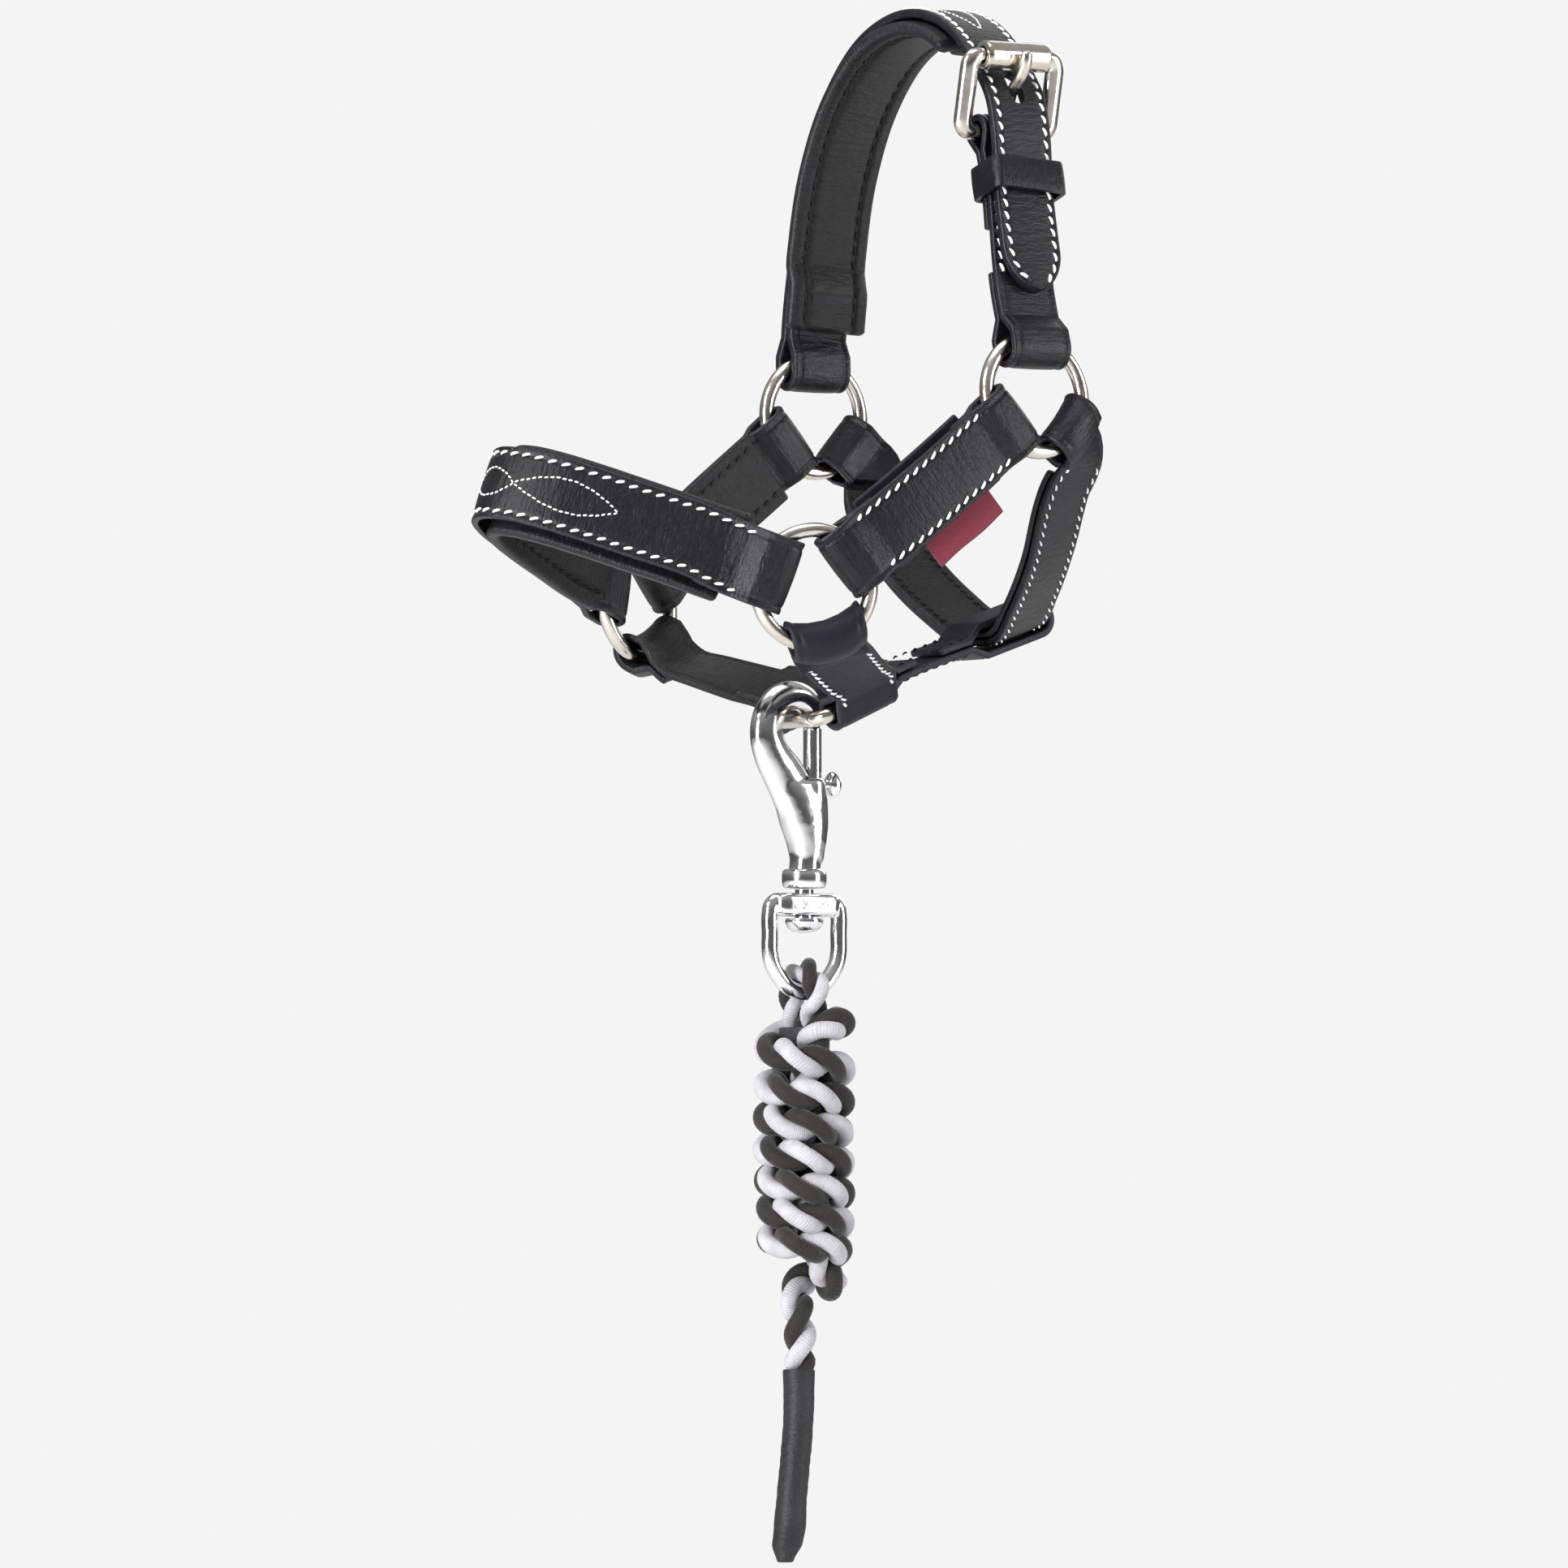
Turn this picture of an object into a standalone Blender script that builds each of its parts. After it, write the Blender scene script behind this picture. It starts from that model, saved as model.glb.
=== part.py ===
"""Small leather headcollar with a lead rope, as separate named parts. Metres, +Z up.

The nose points to -X, the buckle side to -Y. The origin is where the padded crown rests on the poll.
"""
import math

import bmesh
import bpy
import numpy as np
from mathutils import Vector

MM = 0.001
LIFT = 5.9            # height of the crown's outer face above the poll rest
GAP = 0.3             # running clearance between neighbours
RING_GAP = 0.5        # clearance between a ring's wire and the leather folded round it

# Leather
LEATHER = 1.5         # one layer of strap leather
SLIT = 0.3            # gap between a strap and its own folded end
CROWN_T = 2.0
LINING_T = 1.3
CROWN_W = 14.0
CHEEK_W = 14.5
CHEEK_LINING_W = 16.8
NOSE_W = 15.5
NOSE_PAD_W = 19.5
NOSE_PAD_T = 3.0
CHIN_W = 15.5
THROAT_W = 12.6
JAW_W = 12.0
PAD_W = 19.2
PAD_T = 3.6
LAP = 12.0            # length of a folded end that is sewn down

# Rings
RING_R = 11.7         # centreline radius of a round ring
WIRE = 1.5            # wire radius of the rings
CHIN_HALF = 10.0      # half side of the chin ring, on its centreline
UPPER = (-4.0, 41.3, -82.3)
LOWER = (-52.7, 33.6, -122.6)
NOSE_TILT = 20.0      # degrees the noseband's plane drops toward the jaw
RING_YAW = 18.0       # degrees the lower rings turn toward the nose
RING_ROLL = 14.0      # degrees the lower rings lean in at the bottom
CHIN_LEAVE = 57.0     # degrees at which the chin straps leave the lower rings
THROAT_LEAVE = 30.0   # degrees at which the throat strap leaves the upper rings
CHIN_RING = (-26.4, 0.0, -144.0)
CHIN_TILT = 24.0

# Buckle
ROLLER_C = (-1.0, -29.3, -11.9)
HEEL_C = (-1.3, -26.2, -27.5)
FRAME_HALF = 10.5     # half width of the frame, on its centreline
FRAME_R = 1.9
HEEL_R = 1.8
ROLLER_BAR_R = 1.5
ROLLER_R = 3.0
ROLLER_LEN = 15.4

# Snap and swivel
SNAP_X = -33.2
BOLT_DX = 2.0
BOLT_R = 1.9
BOLT_TOP = -148.9
BOLT_BOTTOM = -166.5
BORE_R = 2.2
BORE_BOTTOM = -176.0
EYE_TOP = -183.4
EYE_HALF = 8.4
EYE_R = 1.6
EYE_BOTTOM = -203.7   # centre of the eye's bottom bar

# Rope
ROPE_D = 6.8
ROPE_EYE_D = 5.4
BAND_TOP = -213.3
BAND_BOTTOM = -218.6
HANK_TOP = -218.9
HANK_BOTTOM = -265.5
SLEEVE_TOP = -281.0
SLEEVE_BOTTOM = -320.5


def clear_scene():
    for item in list(bpy.data.objects):
        bpy.data.objects.remove(item, do_unlink=True)


def material(name, colour, roughness, metallic):
    mat = bpy.data.materials.get(name)
    if mat is None:
        mat = bpy.data.materials.new(name)
        mat.use_nodes = True
        shader = mat.node_tree.nodes["Principled BSDF"]
        shader.inputs["Base Color"].default_value = (colour[0], colour[1], colour[2], 1.0)
        shader.inputs["Roughness"].default_value = roughness
        shader.inputs["Metallic"].default_value = metallic
    return mat


def leather(name):
    return material(name, (0.018, 0.018, 0.022), 0.42, 0.0)


def nickel(name):
    return material(name, (0.72, 0.70, 0.64), 0.18, 1.0)


def vec(point):
    return np.array(point, dtype=float)


def unit(v):
    v = vec(v)
    return v / np.linalg.norm(v)


def mirror(point, side):
    """side is -1 for the buckle side and +1 for the far side."""
    return vec((point[0], side * point[1], point[2]))


def add_object(name, mesh, mat, smooth=False):
    item = bpy.data.objects.new(name, mesh)
    bpy.context.scene.collection.objects.link(item)
    mesh.materials.append(mat)
    for face in mesh.polygons:
        face.use_smooth = smooth
    return item


def skin(name, sections, mat, closed=False, smooth=False, origin=(0.0, 0.0, 0.0)):
    """A closed solid through a list of sections, each a list of the same number of points in mm."""
    base = vec(origin) + vec((0.0, 0.0, LIFT))
    bm = bmesh.new()
    rings = []
    for section in sections:
        ring = [bm.verts.new(Vector((vec(p) + vec((0.0, 0.0, LIFT)) - base) * MM)) for p in section]
        rings.append(ring)
    count = len(rings[0])
    spans = len(rings) if closed else len(rings) - 1
    for i in range(spans):
        a = rings[i]
        b = rings[(i + 1) % len(rings)]
        for j in range(count):
            k = (j + 1) % count
            bm.faces.new((a[j], a[k], b[k], b[j]))
    if not closed:
        bm.faces.new(list(reversed(rings[0])))
        bm.faces.new(rings[-1])
    bmesh.ops.recalc_face_normals(bm, faces=bm.faces)
    mesh = bpy.data.meshes.new(name)
    bm.to_mesh(mesh)
    bm.free()
    item = add_object(name, mesh, mat, smooth)
    item.location = Vector(base * MM)
    return item


def chord_lengths(points):
    total = [0.0]
    for a, b in zip(points[:-1], points[1:]):
        total.append(total[-1] + float(np.linalg.norm(vec(b) - vec(a))))
    return total


def spline(points, per_span, at=None):
    """Smooth curve through the points, spaced by chord length or by the distances given."""
    pts = [vec(p) for p in points]
    u = at if at is not None else chord_lengths(pts)
    slopes = [(b - a) / (ub - ua) for a, b, ua, ub in zip(pts[:-1], pts[1:], u[:-1], u[1:])]
    tangents = [slopes[0]]
    for i in range(1, len(pts) - 1):
        before = u[i] - u[i - 1]
        after = u[i + 1] - u[i]
        tangents.append((slopes[i - 1] * after + slopes[i] * before) / (before + after))
    tangents.append(slopes[-1])
    out = []
    for i in range(len(pts) - 1):
        h = u[i + 1] - u[i]
        for k in range(per_span):
            t = k / per_span
            a = (2 * t ** 3 - 3 * t ** 2 + 1) * pts[i] + (t ** 3 - 2 * t ** 2 + t) * h * tangents[i]
            b = (3 * t ** 2 - 2 * t ** 3) * pts[i + 1] + (t ** 3 - t ** 2) * h * tangents[i + 1]
            out.append(a + b)
    out.append(pts[-1])
    return out


class Base:
    """A strap's middle line with its outward normal, read by distance along it in mm."""

    def __init__(self, knots, normals, per_span=24, widths=None):
        self.p = np.array(spline(knots, per_span))
        self.w = None if widths is None else np.array(spline(widths, per_span, chord_lengths(knots)))
        self.n = np.array(spline(normals, per_span, chord_lengths(knots)))
        step = np.linalg.norm(np.diff(self.p, axis=0), axis=1)
        self.s = np.concatenate([[0.0], np.cumsum(step)])
        self.length = float(self.s[-1])

    def at(self, s):
        inside = min(max(s, 0.0), self.length)
        p = vec([np.interp(inside, self.s, self.p[:, k]) for k in range(3)])
        a = min(max(inside - 0.6, 0.0), self.length - 1.2)
        pa = vec([np.interp(a, self.s, self.p[:, k]) for k in range(3)])
        pb = vec([np.interp(a + 1.2, self.s, self.p[:, k]) for k in range(3)])
        t = unit(pb - pa)
        p = p + t * (s - inside)
        if self.w is not None:
            w = unit([np.interp(inside, self.s, self.w[:, k]) for k in range(3)])
            return p, t, unit(np.cross(w, t)), w
        n = vec([np.interp(inside, self.s, self.n[:, k]) for k in range(3)])
        n = unit(n - t * float(np.dot(n, t)))
        return p, t, n, np.cross(t, n)


def dense(path, step=5.0):
    """Adds points so that no step of a (distance, offset) path is longer than step."""
    out = [path[0]]
    for a, b in zip(path[:-1], path[1:]):
        count = max(1, int(math.ceil(math.dist(a, b) / step)))
        for k in range(1, count + 1):
            f = k / count
            out.append((a[0] + (b[0] - a[0]) * f, a[1] + (b[1] - a[1]) * f))
    return out


def fold(inner, outer, q, main, lap, lap_s, steps=8):
    """Path of a strap end folded round a wire at distances inner to outer: from the lap to the strap."""
    side = 1.0 if main > lap else -1.0
    mid = 0.5 * (main + lap)
    path = [(lap_s, lap), (outer + 4.3, lap), (outer + 0.6, mid - side * q)]
    for k in range(steps + 1):
        a = math.pi * k / steps
        path.append((inner - q * math.sin(a), mid - side * q * math.cos(a)))
    path.append((outer + 0.6, mid + side * q))
    path.append((outer + 4.3, main))
    return path


def strap(name, base, path, width, thickness, mat, tip=None, bow=None):
    """A strip of leather of even thickness that follows a (distance, offset) path over a base line.

    tip(s) limits the half width, and bow(w, s) bends the strip across its width.
    """
    pts = dense(path)
    columns = (-1.0, 1.0) if bow is None else (-1.0, -0.62, 0.0, 0.62, 1.0)
    sections = []
    for i, (s, off) in enumerate(pts):
        a = pts[max(i - 1, 0)]
        b = pts[min(i + 1, len(pts) - 1)]
        ds, do = b[0] - a[0], b[1] - a[1]
        size = math.hypot(ds, do)
        p, t, n, w = base.at(s)
        c = p + n * off
        normal = (-do * t + ds * n) / size
        half = 0.5 * width
        if tip is not None:
            half = min(half, tip(s))
        h = 0.5 * thickness
        row = [c + w * half * f + n * (bow(half * f, s) if bow else 0.0) for f in columns]
        sections.append([q - normal * h for q in row] + [q + normal * h for q in reversed(row)])
    return skin(name, sections, mat)


def reverse_end(path, length):
    """Turns an end made at distance 0 into one at the far end of a base line."""
    return [(length - s, off) for s, off in reversed(path)]


def ring_reach(half_width, q, t):
    """Where the bend of a folded end is centred so that its inside clears the curved wire."""
    inside = math.sqrt((RING_R - WIRE) ** 2 - half_width ** 2) - GAP
    return inside + q - 0.5 * t


def ring_end(width, t, main, lap, lap_len=LAP):
    """Folded end round a round ring whose centre is at distance 0."""
    q = WIRE + RING_GAP + 0.5 * t
    outer = RING_R
    return fold(ring_reach(0.5 * width, q, t), outer, q, main, lap, outer + lap_len)


def tilted_end(width, t, main, lap, lap_len, angle):
    """Folded end round a ring that it leaves at an angle; the wire's middle is at distance 0."""
    q = WIRE + RING_GAP + 0.7 + 0.5 * t
    half = 0.5 * width
    a = math.radians(angle)
    sag = RING_R - math.sqrt(RING_R ** 2 - half ** 2)
    long_way = WIRE * RING_R / math.sqrt(RING_R ** 2 - half ** 2)
    reach = math.hypot(long_way * math.cos(a), WIRE * math.sin(a))
    inner = -sag * math.cos(a) - reach - 2.0 * GAP + q - 0.5 * t
    return fold(inner, 0.0, q, main, lap, lap_len)


def ring_bow(angle, length):
    """Cross bend that follows a ring's curve near the tilted ends and fades out along the strap."""
    k = math.sin(math.radians(angle))

    def bow(w, s):
        near = min(s, length - s) if length else s
        fade = min(max((8.5 - near) / 6.0, 0.0), 1.0)
        fade = fade * fade * (3.0 - 2.0 * fade)
        return -k * (RING_R - math.sqrt(RING_R ** 2 - w * w)) * fade

    return bow


def bar_end(bar_r, t, main, lap, lap_len=LAP, extra=0.0):
    """Folded end round a straight bar at distance 0."""
    q = bar_r + GAP + 0.1 + 0.5 * t + extra
    return fold(0.0, 0.0, q, main, lap, lap_len)


def torus(name, centre, normal, radius, wire, mat, major=36, minor=10):
    n = unit(normal)
    a = unit(np.cross(n, (0.0, 0.0, 1.0)))
    b = np.cross(n, a)
    sections = []
    for i in range(major):
        t = 2 * math.pi * i / major
        out = a * math.cos(t) + b * math.sin(t)
        ring = []
        for j in range(minor):
            u = 2 * math.pi * j / minor
            ring.append(vec(centre) + out * (radius + wire * math.cos(u)) + n * wire * math.sin(u))
        sections.append(ring)
    return skin(name, sections, mat, closed=True, smooth=True, origin=centre)


def tube(name, points, radii, mat, side=(0.0, 1.0, 0.0), closed=False, count=10, origin=(0.0, 0.0, 0.0)):
    """A round or oval bar along the points. A radius is one number or (in plane, along side)."""
    pts = [vec(p) for p in points]
    sections = []
    for i, p in enumerate(pts):
        if closed:
            t = unit(pts[(i + 1) % len(pts)] - pts[i - 1])
        else:
            t = unit(pts[min(i + 1, len(pts) - 1)] - pts[max(i - 1, 0)])
        across = unit(vec(side) - t * float(np.dot(side, t)))
        up = np.cross(t, across)
        r = radii[i] if isinstance(radii, (list, tuple)) else radii
        ra, rb = r if isinstance(r, (list, tuple)) else (r, r)
        ring = []
        for j in range(count):
            u = 2 * math.pi * j / count
            ring.append(p + up * ra * math.cos(u) + across * rb * math.sin(u))
        sections.append(ring)
    return skin(name, sections, mat, closed=closed, smooth=True, origin=origin)


def lathe(name, centre, profile, mat, count=20, closed=False, origin=None):
    """Turned shape about a vertical axis; profile is (radius, height) pairs, bottom to top."""
    sections = []
    for r, z in profile:
        ring = []
        for j in range(count):
            u = 2 * math.pi * j / count
            ring.append(vec((centre[0] + r * math.cos(u), centre[1] + r * math.sin(u), z)))
        sections.append(ring)
    place = origin if origin is not None else (centre[0], centre[1], profile[0][1])
    return skin(name, sections, mat, closed=closed, smooth=True, origin=place)


def pipe_x(name, centre, length, outer, inner, mat, axis=(1.0, 0.0, 0.0), count=16):
    """A short pipe along an axis through its centre."""
    ax = unit(axis)
    a = unit(np.cross(ax, (0.0, 0.3, 1.0)))
    b = np.cross(ax, a)
    h = 0.5 * length
    sections = []
    for r, d in ((inner, -h), (outer, -h), (outer, h), (inner, h)):
        ring = []
        for j in range(count):
            u = 2 * math.pi * j / count
            ring.append(vec(centre) + ax * d + (a * math.cos(u) + b * math.sin(u)) * r)
        sections.append(ring)
    return skin(name, sections, mat, closed=True, smooth=False, origin=centre)


def box(name, centre, half, axes, mat):
    """A box with its half sizes along three axes."""
    ax = [unit(a) for a in axes]
    c = vec(centre)
    sections = []
    for d in (-1.0, 1.0):
        mid = c + ax[2] * half[2] * d
        sections.append([mid - ax[0] * half[0] - ax[1] * half[1], mid + ax[0] * half[0] - ax[1] * half[1],
                         mid + ax[0] * half[0] + ax[1] * half[1], mid - ax[0] * half[0] + ax[1] * half[1]])
    return skin(name, sections, mat)


def boolean(target, cutter, operation):
    mod = target.modifiers.new(cutter.name, "BOOLEAN")
    mod.operation = operation
    mod.solver = "EXACT"
    mod.object = cutter
    cutter.hide_render = True
    cutter.display_type = "WIRE"


# Directions shared by several parts

def nose_axes():
    a = math.radians(NOSE_TILT)
    back = vec((math.cos(a), 0.0, -math.sin(a)))
    across = vec((math.sin(a), 0.0, math.cos(a)))
    return back, across


def lower_ring_plane(side):
    """Two directions in a lower ring's plane, backward and upward, and its outward normal."""
    back, across = nose_axes()
    yaw = math.radians(RING_YAW)
    along = back * math.cos(yaw) + vec((0.0, side, 0.0)) * math.sin(yaw)
    flat = -back * math.sin(yaw) + vec((0.0, side, 0.0)) * math.cos(yaw)
    roll = math.radians(RING_ROLL)
    normal = flat * math.cos(roll) - across * math.sin(roll)
    up = across * math.cos(roll) + flat * math.sin(roll)
    return along, up, normal


def upper_ring_normal(side):
    return vec((0.0, 1.0, 0.0)) if side > 0 else unit((0.0, -54.8, 6.5))


def in_plane(direction, normal):
    d = vec(direction)
    return unit(d - normal * float(np.dot(d, normal)))


def turn(along, across, degrees):
    a = math.radians(degrees)
    return along * math.cos(a) + across * math.sin(a)


def chin_axes():
    a = math.radians(CHIN_TILT)
    rear = vec((math.cos(a), 0.0, math.sin(a)))
    up = vec((-math.sin(a), 0.0, math.cos(a)))
    return rear, up


# Base lines

def crown_base():
    far = mirror(UPPER, 1) + vec((0.0, 0.5 * (CROWN_T + SLIT), 0.0))
    knots = [far, far + vec((0, 0, 7.0)), far + vec((0, 0.1, 13.5)), (-2.8, 41.5, -50.0), (-1.8, 38.5, -32.0),
             (-1.0, 31.0, -16.5), (-0.5, 18.5, -5.2), (0.0, 4.0, -1.0), (0.0, -9.5, -3.2), (-0.5, -19.0, -8.6),
             (-0.8, -25.2, -14.6), (-1.0, -29.7, -20.4), (-1.1, -31.7, -26.6), (-1.2, -32.5, -31.5),
             (-1.5, -33.2, -37.0), (-2.2, -36.4, -49.0), (-2.8, -40.3, -61.2)]
    normals = [(0, 1, 0), (0, 1, 0), (0, 1, 0), (0, 1, 0.05), (0, 0.9, 0.35), (0, 0.75, 0.65),
               (0, 0.4, 0.9), (0, 0, 1), (0, -0.3, 0.95), (0, -0.6, 0.8), (0, -0.72, 0.69),
               (0, -0.8, 0.6), (0, -0.95, 0.3), (0, -0.98, 0.1), (0, -0.97, 0.22), (0, -0.97, 0.22),
               (0, -0.97, 0.22)]
    return Base(knots, normals)


def buckle_base():
    """From the heel bar down to the top of the near upper ring's wire."""
    normal = upper_ring_normal(-1)
    up = vec((0.0, normal[2], -normal[1]))
    top = mirror(UPPER, -1) + up * RING_R
    heel = vec(HEEL_C)
    d = unit(vec((0.0, top[1] - heel[1], top[2] - heel[2])))
    out = unit((0.0, d[2], -d[1]))
    knots = [heel, heel + d * 3.5, heel + d * 7.0, top - d * 8.0, top - d * 4.0, top]
    return Base(knots, [out] * 6)


def cheek_directions(side):
    along, across, normal_low = lower_ring_plane(side)
    low = mirror(LOWER, side)
    high = mirror(UPPER, side)
    normal_high = upper_ring_normal(side)
    return low, high, in_plane(high - low, normal_low), in_plane(low - high, normal_high), normal_low, normal_high


def cheek_base(side):
    low, high, d_low, d_high, n_low, n_high = cheek_directions(side)
    knots = [low, low + d_low * 7.0, low + d_low * 14.0, high + d_high * 14.0, high + d_high * 7.0, high]
    return Base(knots, [n_low, n_low, n_low, n_high, n_high, n_high])


def nose_base():
    back, across = nose_axes()
    front = vec((-107.8, 0.0, -101.6))
    half = [(0.4, 0.0), (2.2, 5.6), (7.0, 10.6), (14.0, 14.8), (24.0, 19.4), (35.0, 24.4)]
    knots = []
    normals = []
    for side in (-1, 1):
        along, up, normal = lower_ring_plane(side)
        ring = mirror(LOWER, side)
        curve = [front + back * p + vec((0.0, side * y, 0.0)) for p, y in half[1:]]
        flat = []
        for i in range(len(curve)):
            t = unit(curve[min(i + 1, len(curve) - 1)] - curve[max(i - 1, 0)])
            flat.append(unit(np.cross(across, t)) * side)
        points = curve + [ring - along * 15.0, ring - along * 7.5, ring]
        flat = flat + [normal, normal, normal]
        if side < 0:
            points.reverse()
            flat.reverse()
            points.append(front + back * half[0][0])
            flat.append(-back)
        knots = knots + points
        normals = normals + flat
    return Base(knots, normals)


def leave(direction, normal, angle):
    """Direction and outward normal of a strap that leaves a ring leaning inward by an angle."""
    a = math.radians(angle)
    return direction * math.cos(a) - normal * math.sin(a), normal * math.cos(a) + direction * math.sin(a)


def chin_base(side):
    """Straight line from a lower ring to the chin ring, with the width turning from one to the other."""
    along, up, normal = lower_ring_plane(side)
    radial = turn(along, up, -54.0)
    start = mirror(LOWER, side) + radial * RING_R
    d, n0 = leave(radial, normal, CHIN_LEAVE)
    rear = chin_axes()[0]
    centre = vec(CHIN_RING) + vec((0.0, side * CHIN_HALF, 0.0))
    away = unit(start - centre)
    away = unit(away - rear * float(np.dot(away, rear)))
    w0 = np.cross(d, n0)
    w1 = rear if float(np.dot(rear, w0)) > 0 else -rear
    leaving = start + d * 3.0
    span = centre + away * 4.6 - leaving
    knots = [start, leaving, leaving + span * 0.35, leaving + span * 0.7, centre + away * 4.6, centre + away * 2.2,
             centre]
    widths = [w0, w0, w0 * 0.67 + w1 * 0.33, w0 * 0.33 + w1 * 0.67, w1, w1, w1]
    return Base(knots, [n0] * 7, widths=widths)


def throat_base():
    knots = []
    normals = []
    for side in (-1, 1):
        normal = upper_ring_normal(side)
        radial = in_plane((0.76, 0.0, -0.65), normal)
        start = mirror(UPPER, side) + radial * RING_R
        d, n0 = leave(radial, normal, THROAT_LEAVE)
        half = [start, start + d * 2.5, start + d * 5.0, mirror((7.4, 35.0, -101.5), side),
                mirror((9.6, 26.0, -113.6), side), mirror((12.4, 15.5, -122.6), side),
                mirror((14.5, 6.8, -127.8), side)]
        flat = [n0, n0, n0, unit((0.22, 0.9 * side, -0.36)), unit((0.27, 0.75 * side, -0.6)),
                unit((0.31, 0.4 * side, -0.86)), unit((0.33, 0.0, -0.94))]
        if side > 0:
            half.reverse()
            flat.reverse()
        knots.append(half)
        normals.append(flat)
    bottom = [vec((14.6, 0.0, -128.0))]
    return Base(knots[0] + bottom + knots[1], normals[0] + [unit((0.33, 0.0, -0.94))] + normals[1])


# Leather parts

def build_crown():
    base = crown_base()
    m = 0.5 * (CROWN_T + SLIT)
    start = ring_end(CROWN_W, CROWN_T, 0.0, -2 * m)
    end = base.length - 0.5
    path = start + [(end, 0.0)]
    point = 7.5

    def tip(s):
        left = max(end - s, 0.0) / point
        return 0.6 + 0.5 * CROWN_W * math.sqrt(max(0.0, 1.0 - max(0.0, 1.0 - left) ** 1.7))

    fine = [(s, off) for s, off in path if s < end - point]
    fine = fine + [(end - point * f, 0.0) for f in (1.0, 0.75, 0.5, 0.28, 0.12, 0.0)]
    item = strap("crown_strap", base, fine, CROWN_W, CROWN_T, leather("crown_leather"), tip)
    return item, base


def build_padding(base):
    m = CROWN_T + SLIT
    lap_off = -(m + 0.5 * CROWN_T + GAP + 0.5 * PAD_T)
    run_off = -(0.5 * CROWN_T + GAP + 0.5 * PAD_T)
    end = 122.0
    path = [(17.6, lap_off), (24.5, lap_off), (33.0, run_off), (end, run_off)]
    return strap("crown_padding", base, path, PAD_W, PAD_T, leather("crown_pad_leather"))


def build_buckle_strap():
    base = buckle_base()
    m = 0.5 * (LEATHER + SLIT)
    top = bar_end(HEEL_R, LEATHER, m, -m, 22.0)
    low = reverse_end(tilted_end(CROWN_W, LEATHER, m, -m, 14.0, 9.0), base.length)
    path = top + low
    item = strap("buckle_strap", base, path, CROWN_W, LEATHER, leather("buckle_leather"))
    p, t, n, w = base.at(0.0)
    slot = box("tongue_slot_cutter", p - t * 1.2 + n * 0.6, (1.75, 5.2, 4.6), (w, t, n), leather("buckle_leather"))
    boolean(item, slot, "DIFFERENCE")
    return base


def build_billet_hole(crown, base):
    hole = vec((-1.0, -28.4, -18.6))
    distance = np.linalg.norm(base.p - hole, axis=1)
    s = float(base.s[int(np.argmin(distance))])
    p, t, n, w = base.at(s)
    cutter = box("billet_hole_cutter", p, (1.75, 4.3, 4.0), (w, t, n), leather("crown_leather"))
    boolean(crown, cutter, "DIFFERENCE")
    return s


def build_keeper(buckle):
    m = 0.5 * (LEATHER + SLIT)
    s = 11.6
    p, t, n, w = buckle.at(s)
    inner = -(m + 0.5 * LEATHER) - GAP
    outer = m + 0.5 * LEATHER + GAP + CROWN_T + GAP + 1.9
    half_w = 0.5 * CROWN_W + 0.4
    th = 1.2
    corners = [(-half_w, inner), (half_w, inner), (half_w, outer), (-half_w, outer)]
    centre = p + n * 0.5 * (inner + outer)
    loop = []
    for i, (cx, cn) in enumerate(corners):
        sx = 1.0 if cx > 0 else -1.0
        sn = 1.0 if cn > 0 else -1.0
        start = math.atan2(sn, sx)
        for k in (-1, 0, 1):
            a = start + math.radians(45.0 * k)
            loop.append((cx + 0.5 * th * math.cos(a), cn + 0.5 * th * math.sin(a), math.cos(a), math.sin(a)))
    rings = []
    for x, y, nx, ny in loop:
        c = p + w * x + n * y
        o = w * nx + n * ny
        rings.append([c - o * 0.5 * th - t * 3.5, c + o * 0.5 * th - t * 3.5,
                      c + o * 0.5 * th + t * 3.5, c - o * 0.5 * th + t * 3.5])
    return skin("keeper_loop", rings, leather("keeper_leather"), closed=True, origin=centre)


def build_cheek(side, name):
    base = cheek_base(side)
    m = 0.5 * (LEATHER + SLIT)
    low = ring_end(CHEEK_W, LEATHER, m, -m, 9.0)
    high = reverse_end(ring_end(CHEEK_W, LEATHER, m, -m, 9.0), base.length)
    strap("cheek_strap_" + name, base, low + high, CHEEK_W, LEATHER, leather("cheek_leather_" + name))
    off = -(m + 0.5 * LEATHER + GAP + 0.5 * LINING_T)
    path = [(17.0, off), (base.length - 17.0, off)]
    strap("cheek_lining_" + name, base, path, CHEEK_LINING_W, LINING_T, leather("cheek_lining_leather_" + name))
    return base


def build_label(base):
    red = material("label_fabric", (0.26, 0.01, 0.035), 0.8, 0.0)
    middle = 0.5 * base.length
    sections = []
    for d in (-9.3, -4.6, 0.0, 4.6, 9.3):
        p, t, n, w = base.at(middle + d)
        down = w if w[2] < 0 else -w
        section = []
        for a, b in ((4.6, -1.3), (13.4, -1.3), (13.4, -0.6), (4.6, -0.6)):
            section.append(p + down * a + n * b)
        sections.append(section)
    return skin("label_tab", sections, red)


def build_noseband():
    base = nose_base()
    m = 0.5 * (LEATHER + SLIT)
    low = ring_end(NOSE_W, LEATHER, m, -m)
    high = reverse_end(ring_end(NOSE_W, LEATHER, m, -m), base.length)
    strap("noseband_strap", base, dense(low + high, 3.0), NOSE_W, LEATHER, leather("noseband_leather"))
    off = -(m + 0.5 * LEATHER + GAP + 0.3 + 0.5 * NOSE_PAD_T)
    path = [(17.5, off - 0.6), (23.5, off - 0.2), (29.5, off), (base.length - 29.5, off),
            (base.length - 23.5, off - 0.2), (base.length - 17.5, off - 0.6)]
    strap("noseband_padding", base, dense(path, 3.0), NOSE_PAD_W, NOSE_PAD_T, leather("noseband_pad_leather"))
    return base


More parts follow.
